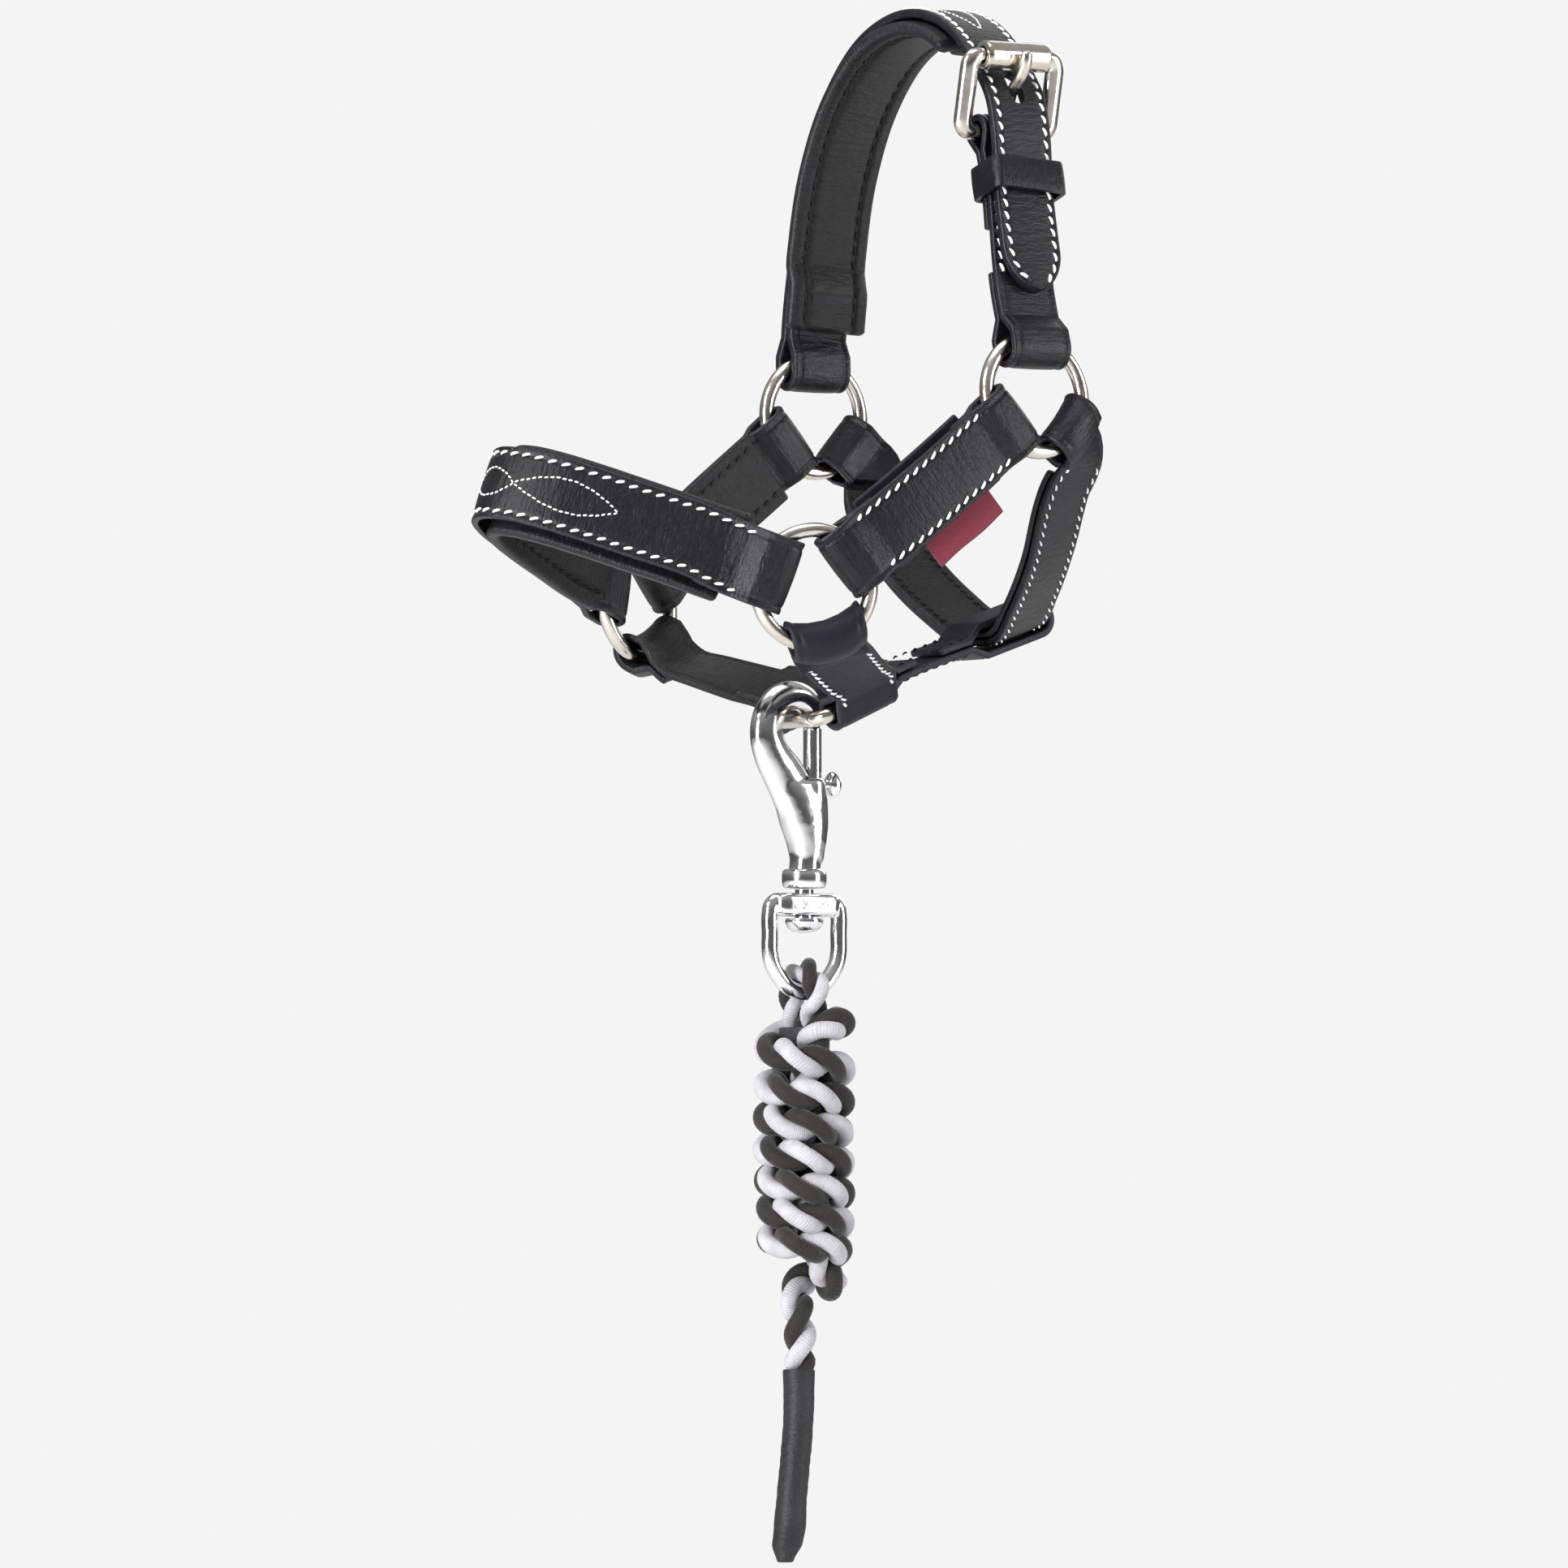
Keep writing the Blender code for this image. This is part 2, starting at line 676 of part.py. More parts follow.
def build_chin(side, name):
    base = chin_base(side)
    m = 0.5 * (LEATHER + SLIT)
    top = tilted_end(CHIN_W, LEATHER, -m, m, 8.0, CHIN_LEAVE)
    low = reverse_end(bar_end(WIRE, LEATHER, m, -m, 11.0, 0.3), base.length)
    strap("chin_strap_" + name, base, top + low, CHIN_W, LEATHER, leather("chin_leather_" + name),
          bow=ring_bow(CHIN_LEAVE, 0.0))
    return base


def build_throat():
    base = throat_base()
    m = 0.5 * (LEATHER + SLIT)
    low = tilted_end(THROAT_W, LEATHER, m, -m, 9.0, THROAT_LEAVE)
    high = reverse_end(tilted_end(THROAT_W, LEATHER, m, -m, 9.0, THROAT_LEAVE), base.length)
    strap("throat_strap", base, dense(low + high, 3.0), THROAT_W, LEATHER, leather("throat_leather"),
          bow=ring_bow(THROAT_LEAVE, base.length))
    off = m - 0.5 * LEATHER - GAP - 0.1 - 0.5 * LINING_T
    path = [(11.5, off), (base.length - 11.5, off)]
    strap("throat_lining", base, dense(path, 3.0), THROAT_W + 0.6, LINING_T, leather("throat_lining_leather"))
    return base


def build_jaw(throat):
    m = 0.5 * (LEATHER + SLIT)
    p, t, n, w = throat.at(0.5 * throat.length)
    centre = p + n * (m - 0.5 * (GAP + LINING_T))
    rear, up = chin_axes()
    bar = vec(CHIN_RING) + rear * CHIN_HALF
    along = w if w[0] < 0 else -w
    front_edge = centre + along * (0.5 * THROAT_W + 0.3)
    back_edge = centre - along * (0.5 * THROAT_W + 0.3)
    knots = [back_edge, front_edge, front_edge + along * 5.0, bar + rear * 6.0, bar]
    down = unit((0.33, 0.0, -0.94))
    base = Base(knots, [down, down, down, unit((0.38, 0.0, -0.92)), unit((0.40, 0.0, -0.91))])
    q = 0.5 * (LEATHER + GAP + LINING_T) + GAP + 0.6 + 0.5 * LEATHER
    wide = THROAT_W + 0.6
    start = [(wide + 12.0, -m), (wide + 4.6, -m), (wide + 1.2, -q)]
    for k in range(9):
        a = math.pi * k / 8
        start.append((-q * math.sin(a), -q * math.cos(a)))
    start = start + [(wide + 1.2, q), (wide + 4.6, m)]
    low = reverse_end(bar_end(WIRE, LEATHER, m, -m, 9.0), base.length)
    strap("jaw_strap", base, start + low, JAW_W, LEATHER, leather("jaw_leather"))
    return base


# Metal parts

def build_rings():
    for side, name in ((-1, "near"), (1, "far")):
        torus("upper_ring_" + name, mirror(UPPER, side), upper_ring_normal(side), RING_R, WIRE,
              nickel("nickel_upper_" + name))
        torus("lower_ring_" + name, mirror(LOWER, side), lower_ring_plane(side)[2], RING_R, WIRE,
              nickel("nickel_lower_" + name))


def rounded_loop(centre, a, b, half_a, half_b, corner, steps):
    pts = []
    for sa, sb, start in ((1, 1, 0), (-1, 1, 90), (-1, -1, 180), (1, -1, 270)):
        for k in range(steps + 1):
            u = math.radians(start + 90.0 * k / steps)
            pts.append(vec(centre) + a * (sa * (half_a - corner) + corner * math.cos(u))
                       + b * (sb * (half_b - corner) + corner * math.sin(u)))
    return pts


def build_chin_ring():
    rear, up = chin_axes()
    side = vec((0.0, 1.0, 0.0))
    pts = rounded_loop(CHIN_RING, rear, side, CHIN_HALF, CHIN_HALF, 2.6, 4)
    return tube("chin_ring", pts, WIRE, nickel("nickel_chin"), side=tuple(up), closed=True, origin=CHIN_RING)


def buckle_axes():
    down = unit(vec(HEEL_C) - vec(ROLLER_C))
    side = vec((1.0, 0.0, 0.0))
    return down, side


def build_buckle():
    down, side = buckle_axes()
    centre = 0.5 * (vec(HEEL_C) + vec(ROLLER_C))
    half = 0.5 * float(np.linalg.norm(vec(HEEL_C) - vec(ROLLER_C)))
    pts = rounded_loop(centre, side, down, FRAME_HALF, half, 2.2, 3)
    order = []
    order_r = []
    for i, p in enumerate(pts):
        nxt = pts[(i + 1) % len(pts)]
        order.append(p)
        order_r.append(FRAME_R)
        if abs(float(np.dot(nxt - p, side))) > 10.0:
            low = float(np.dot(p - centre, down)) > 0
            r = HEEL_R if low else ROLLER_BAR_R
            for f in (0.03, 0.97):
                order.append(p + (nxt - p) * f)
                order_r.append(r)
    normal = np.cross(side, down)
    tube("buckle_frame", order, order_r, nickel("nickel_buckle"), side=tuple(normal), closed=True, origin=centre)
    pipe_x("buckle_roller", ROLLER_C, ROLLER_LEN, ROLLER_R, ROLLER_BAR_R + GAP, nickel("nickel_roller"))


def build_tongue():
    """A collar on the heel bar with a finger that comes up through the billet and rests on the roller."""
    heel = vec(HEEL_C)
    roller = vec(ROLLER_C)
    down, side = buckle_axes()
    out = vec((0.0, -1.0, 0.0)) - down * float(np.dot((0.0, -1.0, 0.0), down))
    out = unit(out)
    metal = nickel("nickel_tongue")
    inner = HEEL_R + GAP
    item = pipe_x("buckle_tongue", heel, 2.6, inner + 1.0, inner, metal, count=16)
    root = heel - down * 2.5 + out * 0.5
    pts = [root, heel - down * 5.0 + out * 0.5, heel - down * 8.4 + out * 0.8, heel - down * 10.6 + out * 2.3,
           roller + down * 3.0 + out * 3.9, roller + down * 0.8 + out * 4.75, roller - down * 1.8 + out * 4.6]
    finger = tube("tongue_finger_cutter", spline(pts, 3), 1.15, metal, side=(1.0, 0.0, 0.0), count=8, origin=heel)
    boolean(item, finger, "UNION")
    return item


def build_snap():
    x = SNAP_X
    line = [(0.0, -182.4), (0.0, -180.4), (0.0, -180.2), (0.0, -178.6), (0.0, -178.4), (0.0, -174.5),
            (-0.2, -171.0), (-0.9, -167.0), (-2.6, -163.0), (-5.2, -158.8), (-7.9, -154.8), (-9.2, -150.8),
            (-8.6, -147.0), (-6.4, -144.1), (-3.2, -142.9), (-0.2, -143.5), (1.7, -145.4), (2.1, -148.4)]
    radii = [(4.3, 4.3), (4.5, 4.5), (3.9, 3.9), (3.7, 3.7), (3.4, 3.4), (3.5, 3.4),
             (4.0, 3.5), (4.7, 3.4), (5.0, 3.2), (4.7, 3.0), (4.1, 2.9), (3.7, 2.8),
             (3.5, 2.7), (3.3, 2.6), (3.1, 2.6), (2.9, 2.5), (2.7, 2.5), (2.4, 2.4)]
    pts = [(x + dx, 0.0, z) for dx, z in line]
    metal = material("snap_chrome", (0.80, 0.80, 0.81), 0.08, 1.0)
    body = tube("snap_body", pts, radii, metal, count=14, origin=(x, 0.0, -147.9))
    bx = x + BOLT_DX
    housing = lathe("snap_housing_cutter", (bx - 0.9, 0.0), [(3.3, -177.0), (3.7, -172.0), (3.8, -164.0), (3.6, -160.6),
                                                           (3.0, -159.9)], metal, count=16)
    boolean(body, housing, "UNION")
    bore = lathe("snap_bore_cutter", (bx, 0.0), [(BORE_R, BORE_BOTTOM), (BORE_R, -150.2)], metal, count=16)
    boolean(body, bore, "DIFFERENCE")
    slot = box("snap_slot_cutter", (bx + 3.0, 0.0, -163.3), (3.0, 1.25, 6.3),
               ((1, 0, 0), (0, 1, 0), (0, 0, 1)), metal)
    boolean(body, slot, "DIFFERENCE")
    return body


def build_bolt():
    bx = SNAP_X + BOLT_DX
    metal = material("bolt_chrome", (0.78, 0.78, 0.79), 0.1, 1.0)
    bolt = lathe("snap_bolt", (bx, 0.0), [(BOLT_R, BOLT_BOTTOM), (BOLT_R, BOLT_TOP - 0.5), (BOLT_R - 0.5, BOLT_TOP)],
                 metal, count=16, origin=(bx, 0.0, BOLT_BOTTOM))
    z = -161.0
    neck = [(bx + 0.8, 0.0, z), (bx + 3.9, 0.0, z)]
    knob = [(bx + 3.8, 0.0, z), (bx + 4.3, 0.0, z), (bx + 5.1, 0.0, z), (bx + 6.0, 0.0, z), (bx + 6.5, 0.0, z)]
    stem = tube("bolt_stem_cutter", neck, 0.9, metal, side=(0, 1, 0), count=10, origin=(bx, 0.0, z))
    ball = tube("bolt_knob_cutter", knob, [1.0, 2.0, 2.5, 2.0, 1.0], metal, side=(0, 1, 0), count=12,
                origin=(bx, 0.0, z))
    boolean(bolt, stem, "UNION")
    boolean(bolt, ball, "UNION")
    return bolt


def build_spring():
    """The space the coil spring fills, as a plain sleeve."""
    bx = SNAP_X + BOLT_DX
    metal = material("spring_steel", (0.55, 0.55, 0.55), 0.35, 1.0)
    low, high = BORE_BOTTOM + 0.2, BOLT_BOTTOM - 0.2
    return lathe("snap_spring", (bx, 0.0), [(1.1, low), (1.9, low), (1.9, high), (1.1, high)], metal,
                 count=14, closed=True, origin=(bx, 0.0, low))


def build_swivel():
    x = SNAP_X
    metal = material("eye_chrome", (0.80, 0.80, 0.81), 0.08, 1.0)
    rivet = material("rivet_chrome", (0.80, 0.80, 0.81), 0.08, 1.0)
    top = EYE_TOP
    lathe("swivel_rivet", (x, 0.0), [(1.6, top - 8.0), (3.2, top - 7.4), (3.9, top - 6.0), (3.8, top - 5.2),
                                    (1.9, top - 5.1), (1.9, top + 0.75)], rivet, count=16)
    h = EYE_HALF
    mid = top - 2.4
    line = [(-h + 2.0, mid), (-h + 0.6, mid - 0.5), (-h, mid - 2.6), (-h, mid - 9.0), (-h + 1.2, mid - 13.0),
            (-h + 4.4, mid - 16.8), (0.0, EYE_BOTTOM), (h - 4.4, mid - 16.8), (h - 1.2, mid - 13.0), (h, mid - 9.0),
            (h, mid - 2.6), (h - 0.6, mid - 0.5), (h - 2.0, mid)]
    pts = spline([(x + dx, 0.0, z) for dx, z in line], 2)
    eye = box("swivel_eye", (x, 0.0, mid), (h - 1.2, 3.1, 2.4), ((1, 0, 0), (0, 1, 0), (0, 0, 1)), metal)
    bow = tube("eye_bow_cutter", pts, EYE_R, metal, side=(0, 1, 0), count=10)
    hole = lathe("eye_hole_cutter", (x, 0.0), [(2.2, top - 7.0), (2.2, top + 2.0)], metal, count=16)
    boolean(eye, bow, "UNION")
    boolean(eye, hole, "DIFFERENCE")
    return eye


# Rope

def build_rope():
    x = SNAP_X
    cord = material("rope_fabric", (0.20, 0.20, 0.22), 0.85, 0.0)
    r = 0.5 * ROPE_EYE_D
    reach = EYE_R + GAP + r
    legs = [(x, -r - 0.25, BAND_TOP + 0.4), (x, -r - 0.25, BAND_TOP + 1.6), (x, -r - 0.9, BAND_TOP + 4.6),
            (x, -reach, EYE_BOTTOM - 1.4)]
    arc = []
    for k in range(0, 9):
        a = math.pi * k / 8
        arc.append((x, -reach * math.cos(a), EYE_BOTTOM + reach * math.sin(a)))
    back = [(px, -py, pz) for px, py, pz in reversed(legs)]
    tube("rope_eye", legs + arc + back, r, cord, side=(1, 0, 0), count=8, origin=(x, 0.0, EYE_BOTTOM))
    band = material("band_leather", (0.018, 0.018, 0.02), 0.5, 0.0)
    oval_lathe("rope_band", x, [(0.9, BAND_BOTTOM), (1.0, BAND_BOTTOM + 0.3), (1.0, BAND_TOP - 0.3), (0.9, BAND_TOP)],
               3.7, 6.4, band)
    top, low = HANK_TOP, HANK_BOTTOM
    oval_lathe("rope_hank", x, [(0.35, low), (0.72, low + 1.6), (0.93, low + 4.4), (1.0, low + 8.0), (1.0, top - 6.0),
                                (0.93, top - 3.0), (0.72, top - 1.0), (0.4, top)], 11.3, 12.6,
               material("hank_fabric", (0.20, 0.20, 0.22), 0.85, 0.0))
    build_tail(x, HANK_BOTTOM - GAP, SLEEVE_TOP + GAP)
    sleeve = material("sleeve_leather", (0.03, 0.03, 0.035), 0.5, 0.0)
    z0, z1 = SLEEVE_BOTTOM, SLEEVE_TOP
    oval_lathe("rope_end_sleeve", x, [(0.6, z0), (0.95, z0 + 1.2), (1.0, z0 + 4.0), (1.0, z1)], 3.3, 3.0, sleeve)


def build_tail(x, high, low):
    curve = bpy.data.curves.new("rope_tail", "CURVE")
    curve.dimensions = "3D"
    curve.bevel_depth = 0.5 * ROPE_D * MM
    curve.bevel_resolution = 2
    curve.use_fill_caps = True
    line = curve.splines.new("POLY")
    line.points.add(1)
    line.points[0].co = (x * MM, 0.0, (high + LIFT) * MM, 1.0)
    line.points[1].co = (x * MM, 0.0, (low + LIFT) * MM, 1.0)
    curve.materials.append(material("tail_fabric", (0.20, 0.20, 0.22), 0.85, 0.0))
    item = bpy.data.objects.new("rope_tail", curve)
    bpy.context.scene.collection.objects.link(item)
    return item


def oval_lathe(name, x, profile, rx, ry, mat):
    sections = []
    for f, z in profile:
        ring = []
        for j in range(16):
            u = 2 * math.pi * j / 16
            ring.append((x + rx * f * math.cos(u), ry * f * math.sin(u), z))
        sections.append(ring)
    return skin(name, sections, mat, smooth=True, origin=(x, 0.0, profile[-1][1]))


def main():
    clear_scene()
    crown, base = build_crown()
    build_padding(base)
    build_billet_hole(crown, base)
    buckle = build_buckle_strap()
    build_keeper(buckle)
    cheek = build_cheek(-1, "near")
    build_cheek(1, "far")
    build_label(cheek)
    build_noseband()
    build_chin(-1, "near")
    build_chin(1, "far")
    build_jaw(build_throat())
    build_rings()
    build_chin_ring()
    build_buckle()
    build_tongue()
    build_snap()
    build_bolt()
    build_spring()
    build_swivel()
    build_rope()


main()
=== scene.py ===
"""Looks of the small leather headcollar and its lead rope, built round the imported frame.

Lengths in the shape functions are millimetres in the same datum as the CAD source, whose z is LIFT below
the row frame's; put() turns them into metres in the row frame.
"""
import math

import bmesh
import bpy
import numpy as np
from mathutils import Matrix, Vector


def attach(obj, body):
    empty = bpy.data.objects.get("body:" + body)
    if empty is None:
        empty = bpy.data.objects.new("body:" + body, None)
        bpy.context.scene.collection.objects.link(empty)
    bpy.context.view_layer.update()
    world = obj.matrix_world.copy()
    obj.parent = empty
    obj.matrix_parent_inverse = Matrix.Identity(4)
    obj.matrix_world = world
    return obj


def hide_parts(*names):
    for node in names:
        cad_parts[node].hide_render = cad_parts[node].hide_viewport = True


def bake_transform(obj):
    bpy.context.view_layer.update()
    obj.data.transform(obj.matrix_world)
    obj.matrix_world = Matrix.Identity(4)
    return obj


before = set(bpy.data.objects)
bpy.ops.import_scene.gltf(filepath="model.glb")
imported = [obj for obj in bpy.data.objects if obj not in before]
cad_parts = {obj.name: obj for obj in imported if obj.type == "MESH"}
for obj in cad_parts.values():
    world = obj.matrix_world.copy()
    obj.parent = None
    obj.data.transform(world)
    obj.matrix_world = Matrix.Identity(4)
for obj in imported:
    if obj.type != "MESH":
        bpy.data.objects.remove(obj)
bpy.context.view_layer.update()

MM = 0.001
LIFT = 5.9
GAP = 0.3
RING_GAP = 0.5
LEATHER = 1.5
SLIT = 0.3
CROWN_T = 2.0
LINING_T = 1.3
CROWN_W = 14.0
CHEEK_W = 14.5
CHEEK_LINING_W = 16.8
NOSE_W = 15.5
NOSE_PAD_W = 19.5
NOSE_PAD_T = 3.0
CHIN_W = 15.5
THROAT_W = 12.6
JAW_W = 12.0
PAD_W = 19.2
PAD_T = 3.6
LAP = 12.0
RING_R = 11.7
WIRE = 1.5
CHIN_HALF = 10.0
UPPER = (-4.0, 41.3, -82.3)
LOWER = (-52.7, 33.6, -122.6)
NOSE_TILT = 20.0
RING_YAW = 18.0
RING_ROLL = 14.0
CHIN_LEAVE = 57.0
THROAT_LEAVE = 30.0
CHIN_RING = (-26.4, 0.0, -144.0)
CHIN_TILT = 24.0
ROLLER_C = (-1.0, -29.3, -11.9)
HEEL_C = (-1.3, -26.2, -27.5)
FRAME_HALF = 10.5
HEEL_R = 1.8
ROLLER_BAR_R = 1.5
ROLLER_R = 3.0
ROLLER_LEN = 15.4
SNAP_X = -33.2
BOLT_DX = 2.0
BOLT_R = 1.9
BOLT_TOP = -148.9
BOLT_BOTTOM = -166.5
BORE_BOTTOM = -176.0
EYE_TOP = -183.4
EYE_HALF = 8.4
EYE_R = 1.6
EYE_BOTTOM = -203.7
BAND_TOP = -213.3
BAND_BOTTOM = -218.6
SLEEVE_TOP = -281.0
SLEEVE_BOTTOM = -320.5
VIEW_AZ = -33.0
VIEW_EL = -2.2


# Vectors and curves

def vec(p):
    return np.array(p, dtype=float)


def unit(v):
    v = vec(v)
    return v / np.linalg.norm(v)


def put(p):
    return Vector((p[0] * MM, p[1] * MM, (p[2] + LIFT) * MM))


def mirror(p, side):
    return vec((p[0], side * p[1], p[2]))


def smooth(x):
    x = min(max(x, 0.0), 1.0)
    return x * x * (3.0 - 2.0 * x)


def chord_lengths(points):
    total = [0.0]
    for a, b in zip(points[:-1], points[1:]):
        total.append(total[-1] + float(np.linalg.norm(vec(b) - vec(a))))
    return total


def spline(points, per_span, at=None):
    """Smooth curve through the points, spaced by chord length or by the distances given."""
    pts = [vec(p) for p in points]
    u = at if at is not None else chord_lengths(pts)
    slopes = [(b - a) / (ub - ua) for a, b, ua, ub in zip(pts[:-1], pts[1:], u[:-1], u[1:])]
    tangents = [slopes[0]]
    for i in range(1, len(pts) - 1):
        before = u[i] - u[i - 1]
        after = u[i + 1] - u[i]
        tangents.append((slopes[i - 1] * after + slopes[i] * before) / (before + after))
    tangents.append(slopes[-1])
    out = []
    for i in range(len(pts) - 1):
        h = u[i + 1] - u[i]
        for k in range(per_span):
            t = k / per_span
            a = (2 * t ** 3 - 3 * t ** 2 + 1) * pts[i] + (t ** 3 - 2 * t ** 2 + t) * h * tangents[i]
            b = (3 * t ** 2 - 2 * t ** 3) * pts[i + 1] + (t ** 3 - t ** 2) * h * tangents[i + 1]
            out.append(a + b)
    out.append(pts[-1])
    return out


def resample(points, step):
    """Points spaced evenly, about step apart, along a polyline."""
    pts = np.array(points, dtype=float)
    s = np.array(chord_lengths(pts))
    count = max(2, int(round(s[-1] / step)) + 1)
    at = np.linspace(0.0, s[-1], count)
    return np.stack([np.interp(at, s, pts[:, k]) for k in range(pts.shape[1])], axis=1)


class Base:
    """A strap's middle line with its outward normal, read by distance along it in mm."""

    def __init__(self, knots, normals, per_span=24, widths=None):
        self.p = np.array(spline(knots, per_span))
        self.w = None if widths is None else np.array(spline(widths, per_span, chord_lengths(knots)))
        self.n = np.array(spline(normals, per_span, chord_lengths(knots)))
        self.s = np.array(chord_lengths(self.p))
        self.length = float(self.s[-1])

    def at(self, s):
        inside = min(max(s, 0.0), self.length)
        p = vec([np.interp(inside, self.s, self.p[:, k]) for k in range(3)])
        a = min(max(inside - 0.6, 0.0), self.length - 1.2)
        pa = vec([np.interp(a, self.s, self.p[:, k]) for k in range(3)])
        pb = vec([np.interp(a + 1.2, self.s, self.p[:, k]) for k in range(3)])
        t = unit(pb - pa)
        p = p + t * (s - inside)
        if self.w is not None:
            w = unit([np.interp(inside, self.s, self.w[:, k]) for k in range(3)])
            return p, t, unit(np.cross(w, t)), w
        n = vec([np.interp(inside, self.s, self.n[:, k]) for k in range(3)])
        n = unit(n - t * float(np.dot(n, t)))
        return p, t, n, np.cross(t, n)


def dense(path, step=5.0):
    out = [path[0]]
    for a, b in zip(path[:-1], path[1:]):
        count = max(1, int(math.ceil(math.dist(a, b) / step)))
        for k in range(1, count + 1):
            f = k / count
            out.append((a[0] + (b[0] - a[0]) * f, a[1] + (b[1] - a[1]) * f))
    return out


def fold(inner, outer, q, main, lap, lap_s, steps=16):
    """Path of a strap end folded round a wire: from the lap to the strap."""
    side = 1.0 if main > lap else -1.0
    mid = 0.5 * (main + lap)
    path = [(lap_s, lap), (outer + 4.3, lap), (outer + 0.6, mid - side * q)]
    for k in range(steps + 1):
        a = math.pi * k / steps
        path.append((inner - q * math.sin(a), mid - side * q * math.cos(a)))
    path.append((outer + 0.6, mid + side * q))
    path.append((outer + 4.3, main))
    return path


def reverse_end(path, length):
    return [(length - s, off) for s, off in reversed(path)]


def ring_end(width, t, main, lap, lap_len=LAP):
    q = WIRE + RING_GAP + 0.5 * t
    inside = math.sqrt((RING_R - WIRE) ** 2 - (0.5 * width) ** 2) - GAP
    return fold(inside + q - 0.5 * t, RING_R, q, main, lap, RING_R + lap_len)


def tilted_end(width, t, main, lap, lap_len, angle):
    q = WIRE + RING_GAP + 0.7 + 0.5 * t
    half = 0.5 * width
    a = math.radians(angle)
    sag = RING_R - math.sqrt(RING_R ** 2 - half ** 2)
    long_way = WIRE * RING_R / math.sqrt(RING_R ** 2 - half ** 2)
    reach = math.hypot(long_way * math.cos(a), WIRE * math.sin(a))
    inner = -sag * math.cos(a) - reach - 2.0 * GAP + q - 0.5 * t
    return fold(inner, 0.0, q, main, lap, lap_len)


def ring_bow(angle, length):
    k = math.sin(math.radians(angle))

    def bow(w, s):
        near = min(s, length - s) if length else s
        fade = smooth((8.5 - near) / 6.0)
        return -k * (RING_R - math.sqrt(RING_R ** 2 - w * w)) * fade

    return bow


def bar_end(bar_r, t, main, lap, lap_len=LAP, extra=0.0):
    q = bar_r + GAP + 0.1 + 0.5 * t + extra
    return fold(0.0, 0.0, q, main, lap, lap_len)


# The strap lines, as in the CAD source

def nose_axes():
    a = math.radians(NOSE_TILT)
    return vec((math.cos(a), 0.0, -math.sin(a))), vec((math.sin(a), 0.0, math.cos(a)))


def lower_ring_plane(side):
    back, across = nose_axes()
    yaw = math.radians(RING_YAW)
    along = back * math.cos(yaw) + vec((0.0, side, 0.0)) * math.sin(yaw)
    flat = -back * math.sin(yaw) + vec((0.0, side, 0.0)) * math.cos(yaw)
    roll = math.radians(RING_ROLL)
    normal = flat * math.cos(roll) - across * math.sin(roll)
    up = across * math.cos(roll) + flat * math.sin(roll)
    return along, up, normal


def upper_ring_normal(side):
    return vec((0.0, 1.0, 0.0)) if side > 0 else unit((0.0, -54.8, 6.5))


def in_plane(direction, normal):
    d = vec(direction)
    return unit(d - normal * float(np.dot(d, normal)))


def turn(along, across, degrees):
    a = math.radians(degrees)
    return along * math.cos(a) + across * math.sin(a)


def chin_axes():
    a = math.radians(CHIN_TILT)
    return vec((math.cos(a), 0.0, math.sin(a))), vec((-math.sin(a), 0.0, math.cos(a)))


def crown_base():
    far = mirror(UPPER, 1) + vec((0.0, 0.5 * (CROWN_T + SLIT), 0.0))
    knots = [far, far + vec((0, 0, 7.0)), far + vec((0, 0.1, 13.5)), (-2.8, 41.5, -50.0), (-1.8, 38.5, -32.0),
             (-1.0, 31.0, -16.5), (-0.5, 18.5, -5.2), (0.0, 4.0, -1.0), (0.0, -9.5, -3.2),
             (-0.5, -19.0, -8.6),
             (-0.8, -25.2, -14.6), (-1.0, -29.7, -20.4), (-1.1, -31.7, -26.6), (-1.2, -32.5, -31.5),
             (-1.5, -33.2, -37.0), (-2.2, -36.4, -49.0), (-2.8, -40.3, -61.2)]
    normals = [(0, 1, 0), (0, 1, 0), (0, 1, 0), (0, 1, 0.05), (0, 0.9, 0.35), (0, 0.75, 0.65),
               (0, 0.4, 0.9), (0, 0, 1), (0, -0.3, 0.95), (0, -0.6, 0.8), (0, -0.72, 0.69),
               (0, -0.8, 0.6), (0, -0.95, 0.3), (0, -0.98, 0.1), (0, -0.97, 0.22), (0, -0.97, 0.22),
               (0, -0.97, 0.22)]
    return Base(knots, normals)


def buckle_base():
    normal = upper_ring_normal(-1)
    up = vec((0.0, normal[2], -normal[1]))
    top = mirror(UPPER, -1) + up * RING_R
    heel = vec(HEEL_C)
    d = unit(vec((0.0, top[1] - heel[1], top[2] - heel[2])))
    out = unit((0.0, d[2], -d[1]))
    return Base([heel, heel + d * 3.5, heel + d * 7.0, top - d * 8.0, top - d * 4.0, top], [out] * 6)


def cheek_base(side):
    n_low = lower_ring_plane(side)[2]
    low = mirror(LOWER, side)
    high = mirror(UPPER, side)
    n_high = upper_ring_normal(side)
    d_low = in_plane(high - low, n_low)
    d_high = in_plane(low - high, n_high)
    knots = [low, low + d_low * 7.0, low + d_low * 14.0, high + d_high * 14.0, high + d_high * 7.0, high]
    return Base(knots, [n_low, n_low, n_low, n_high, n_high, n_high])


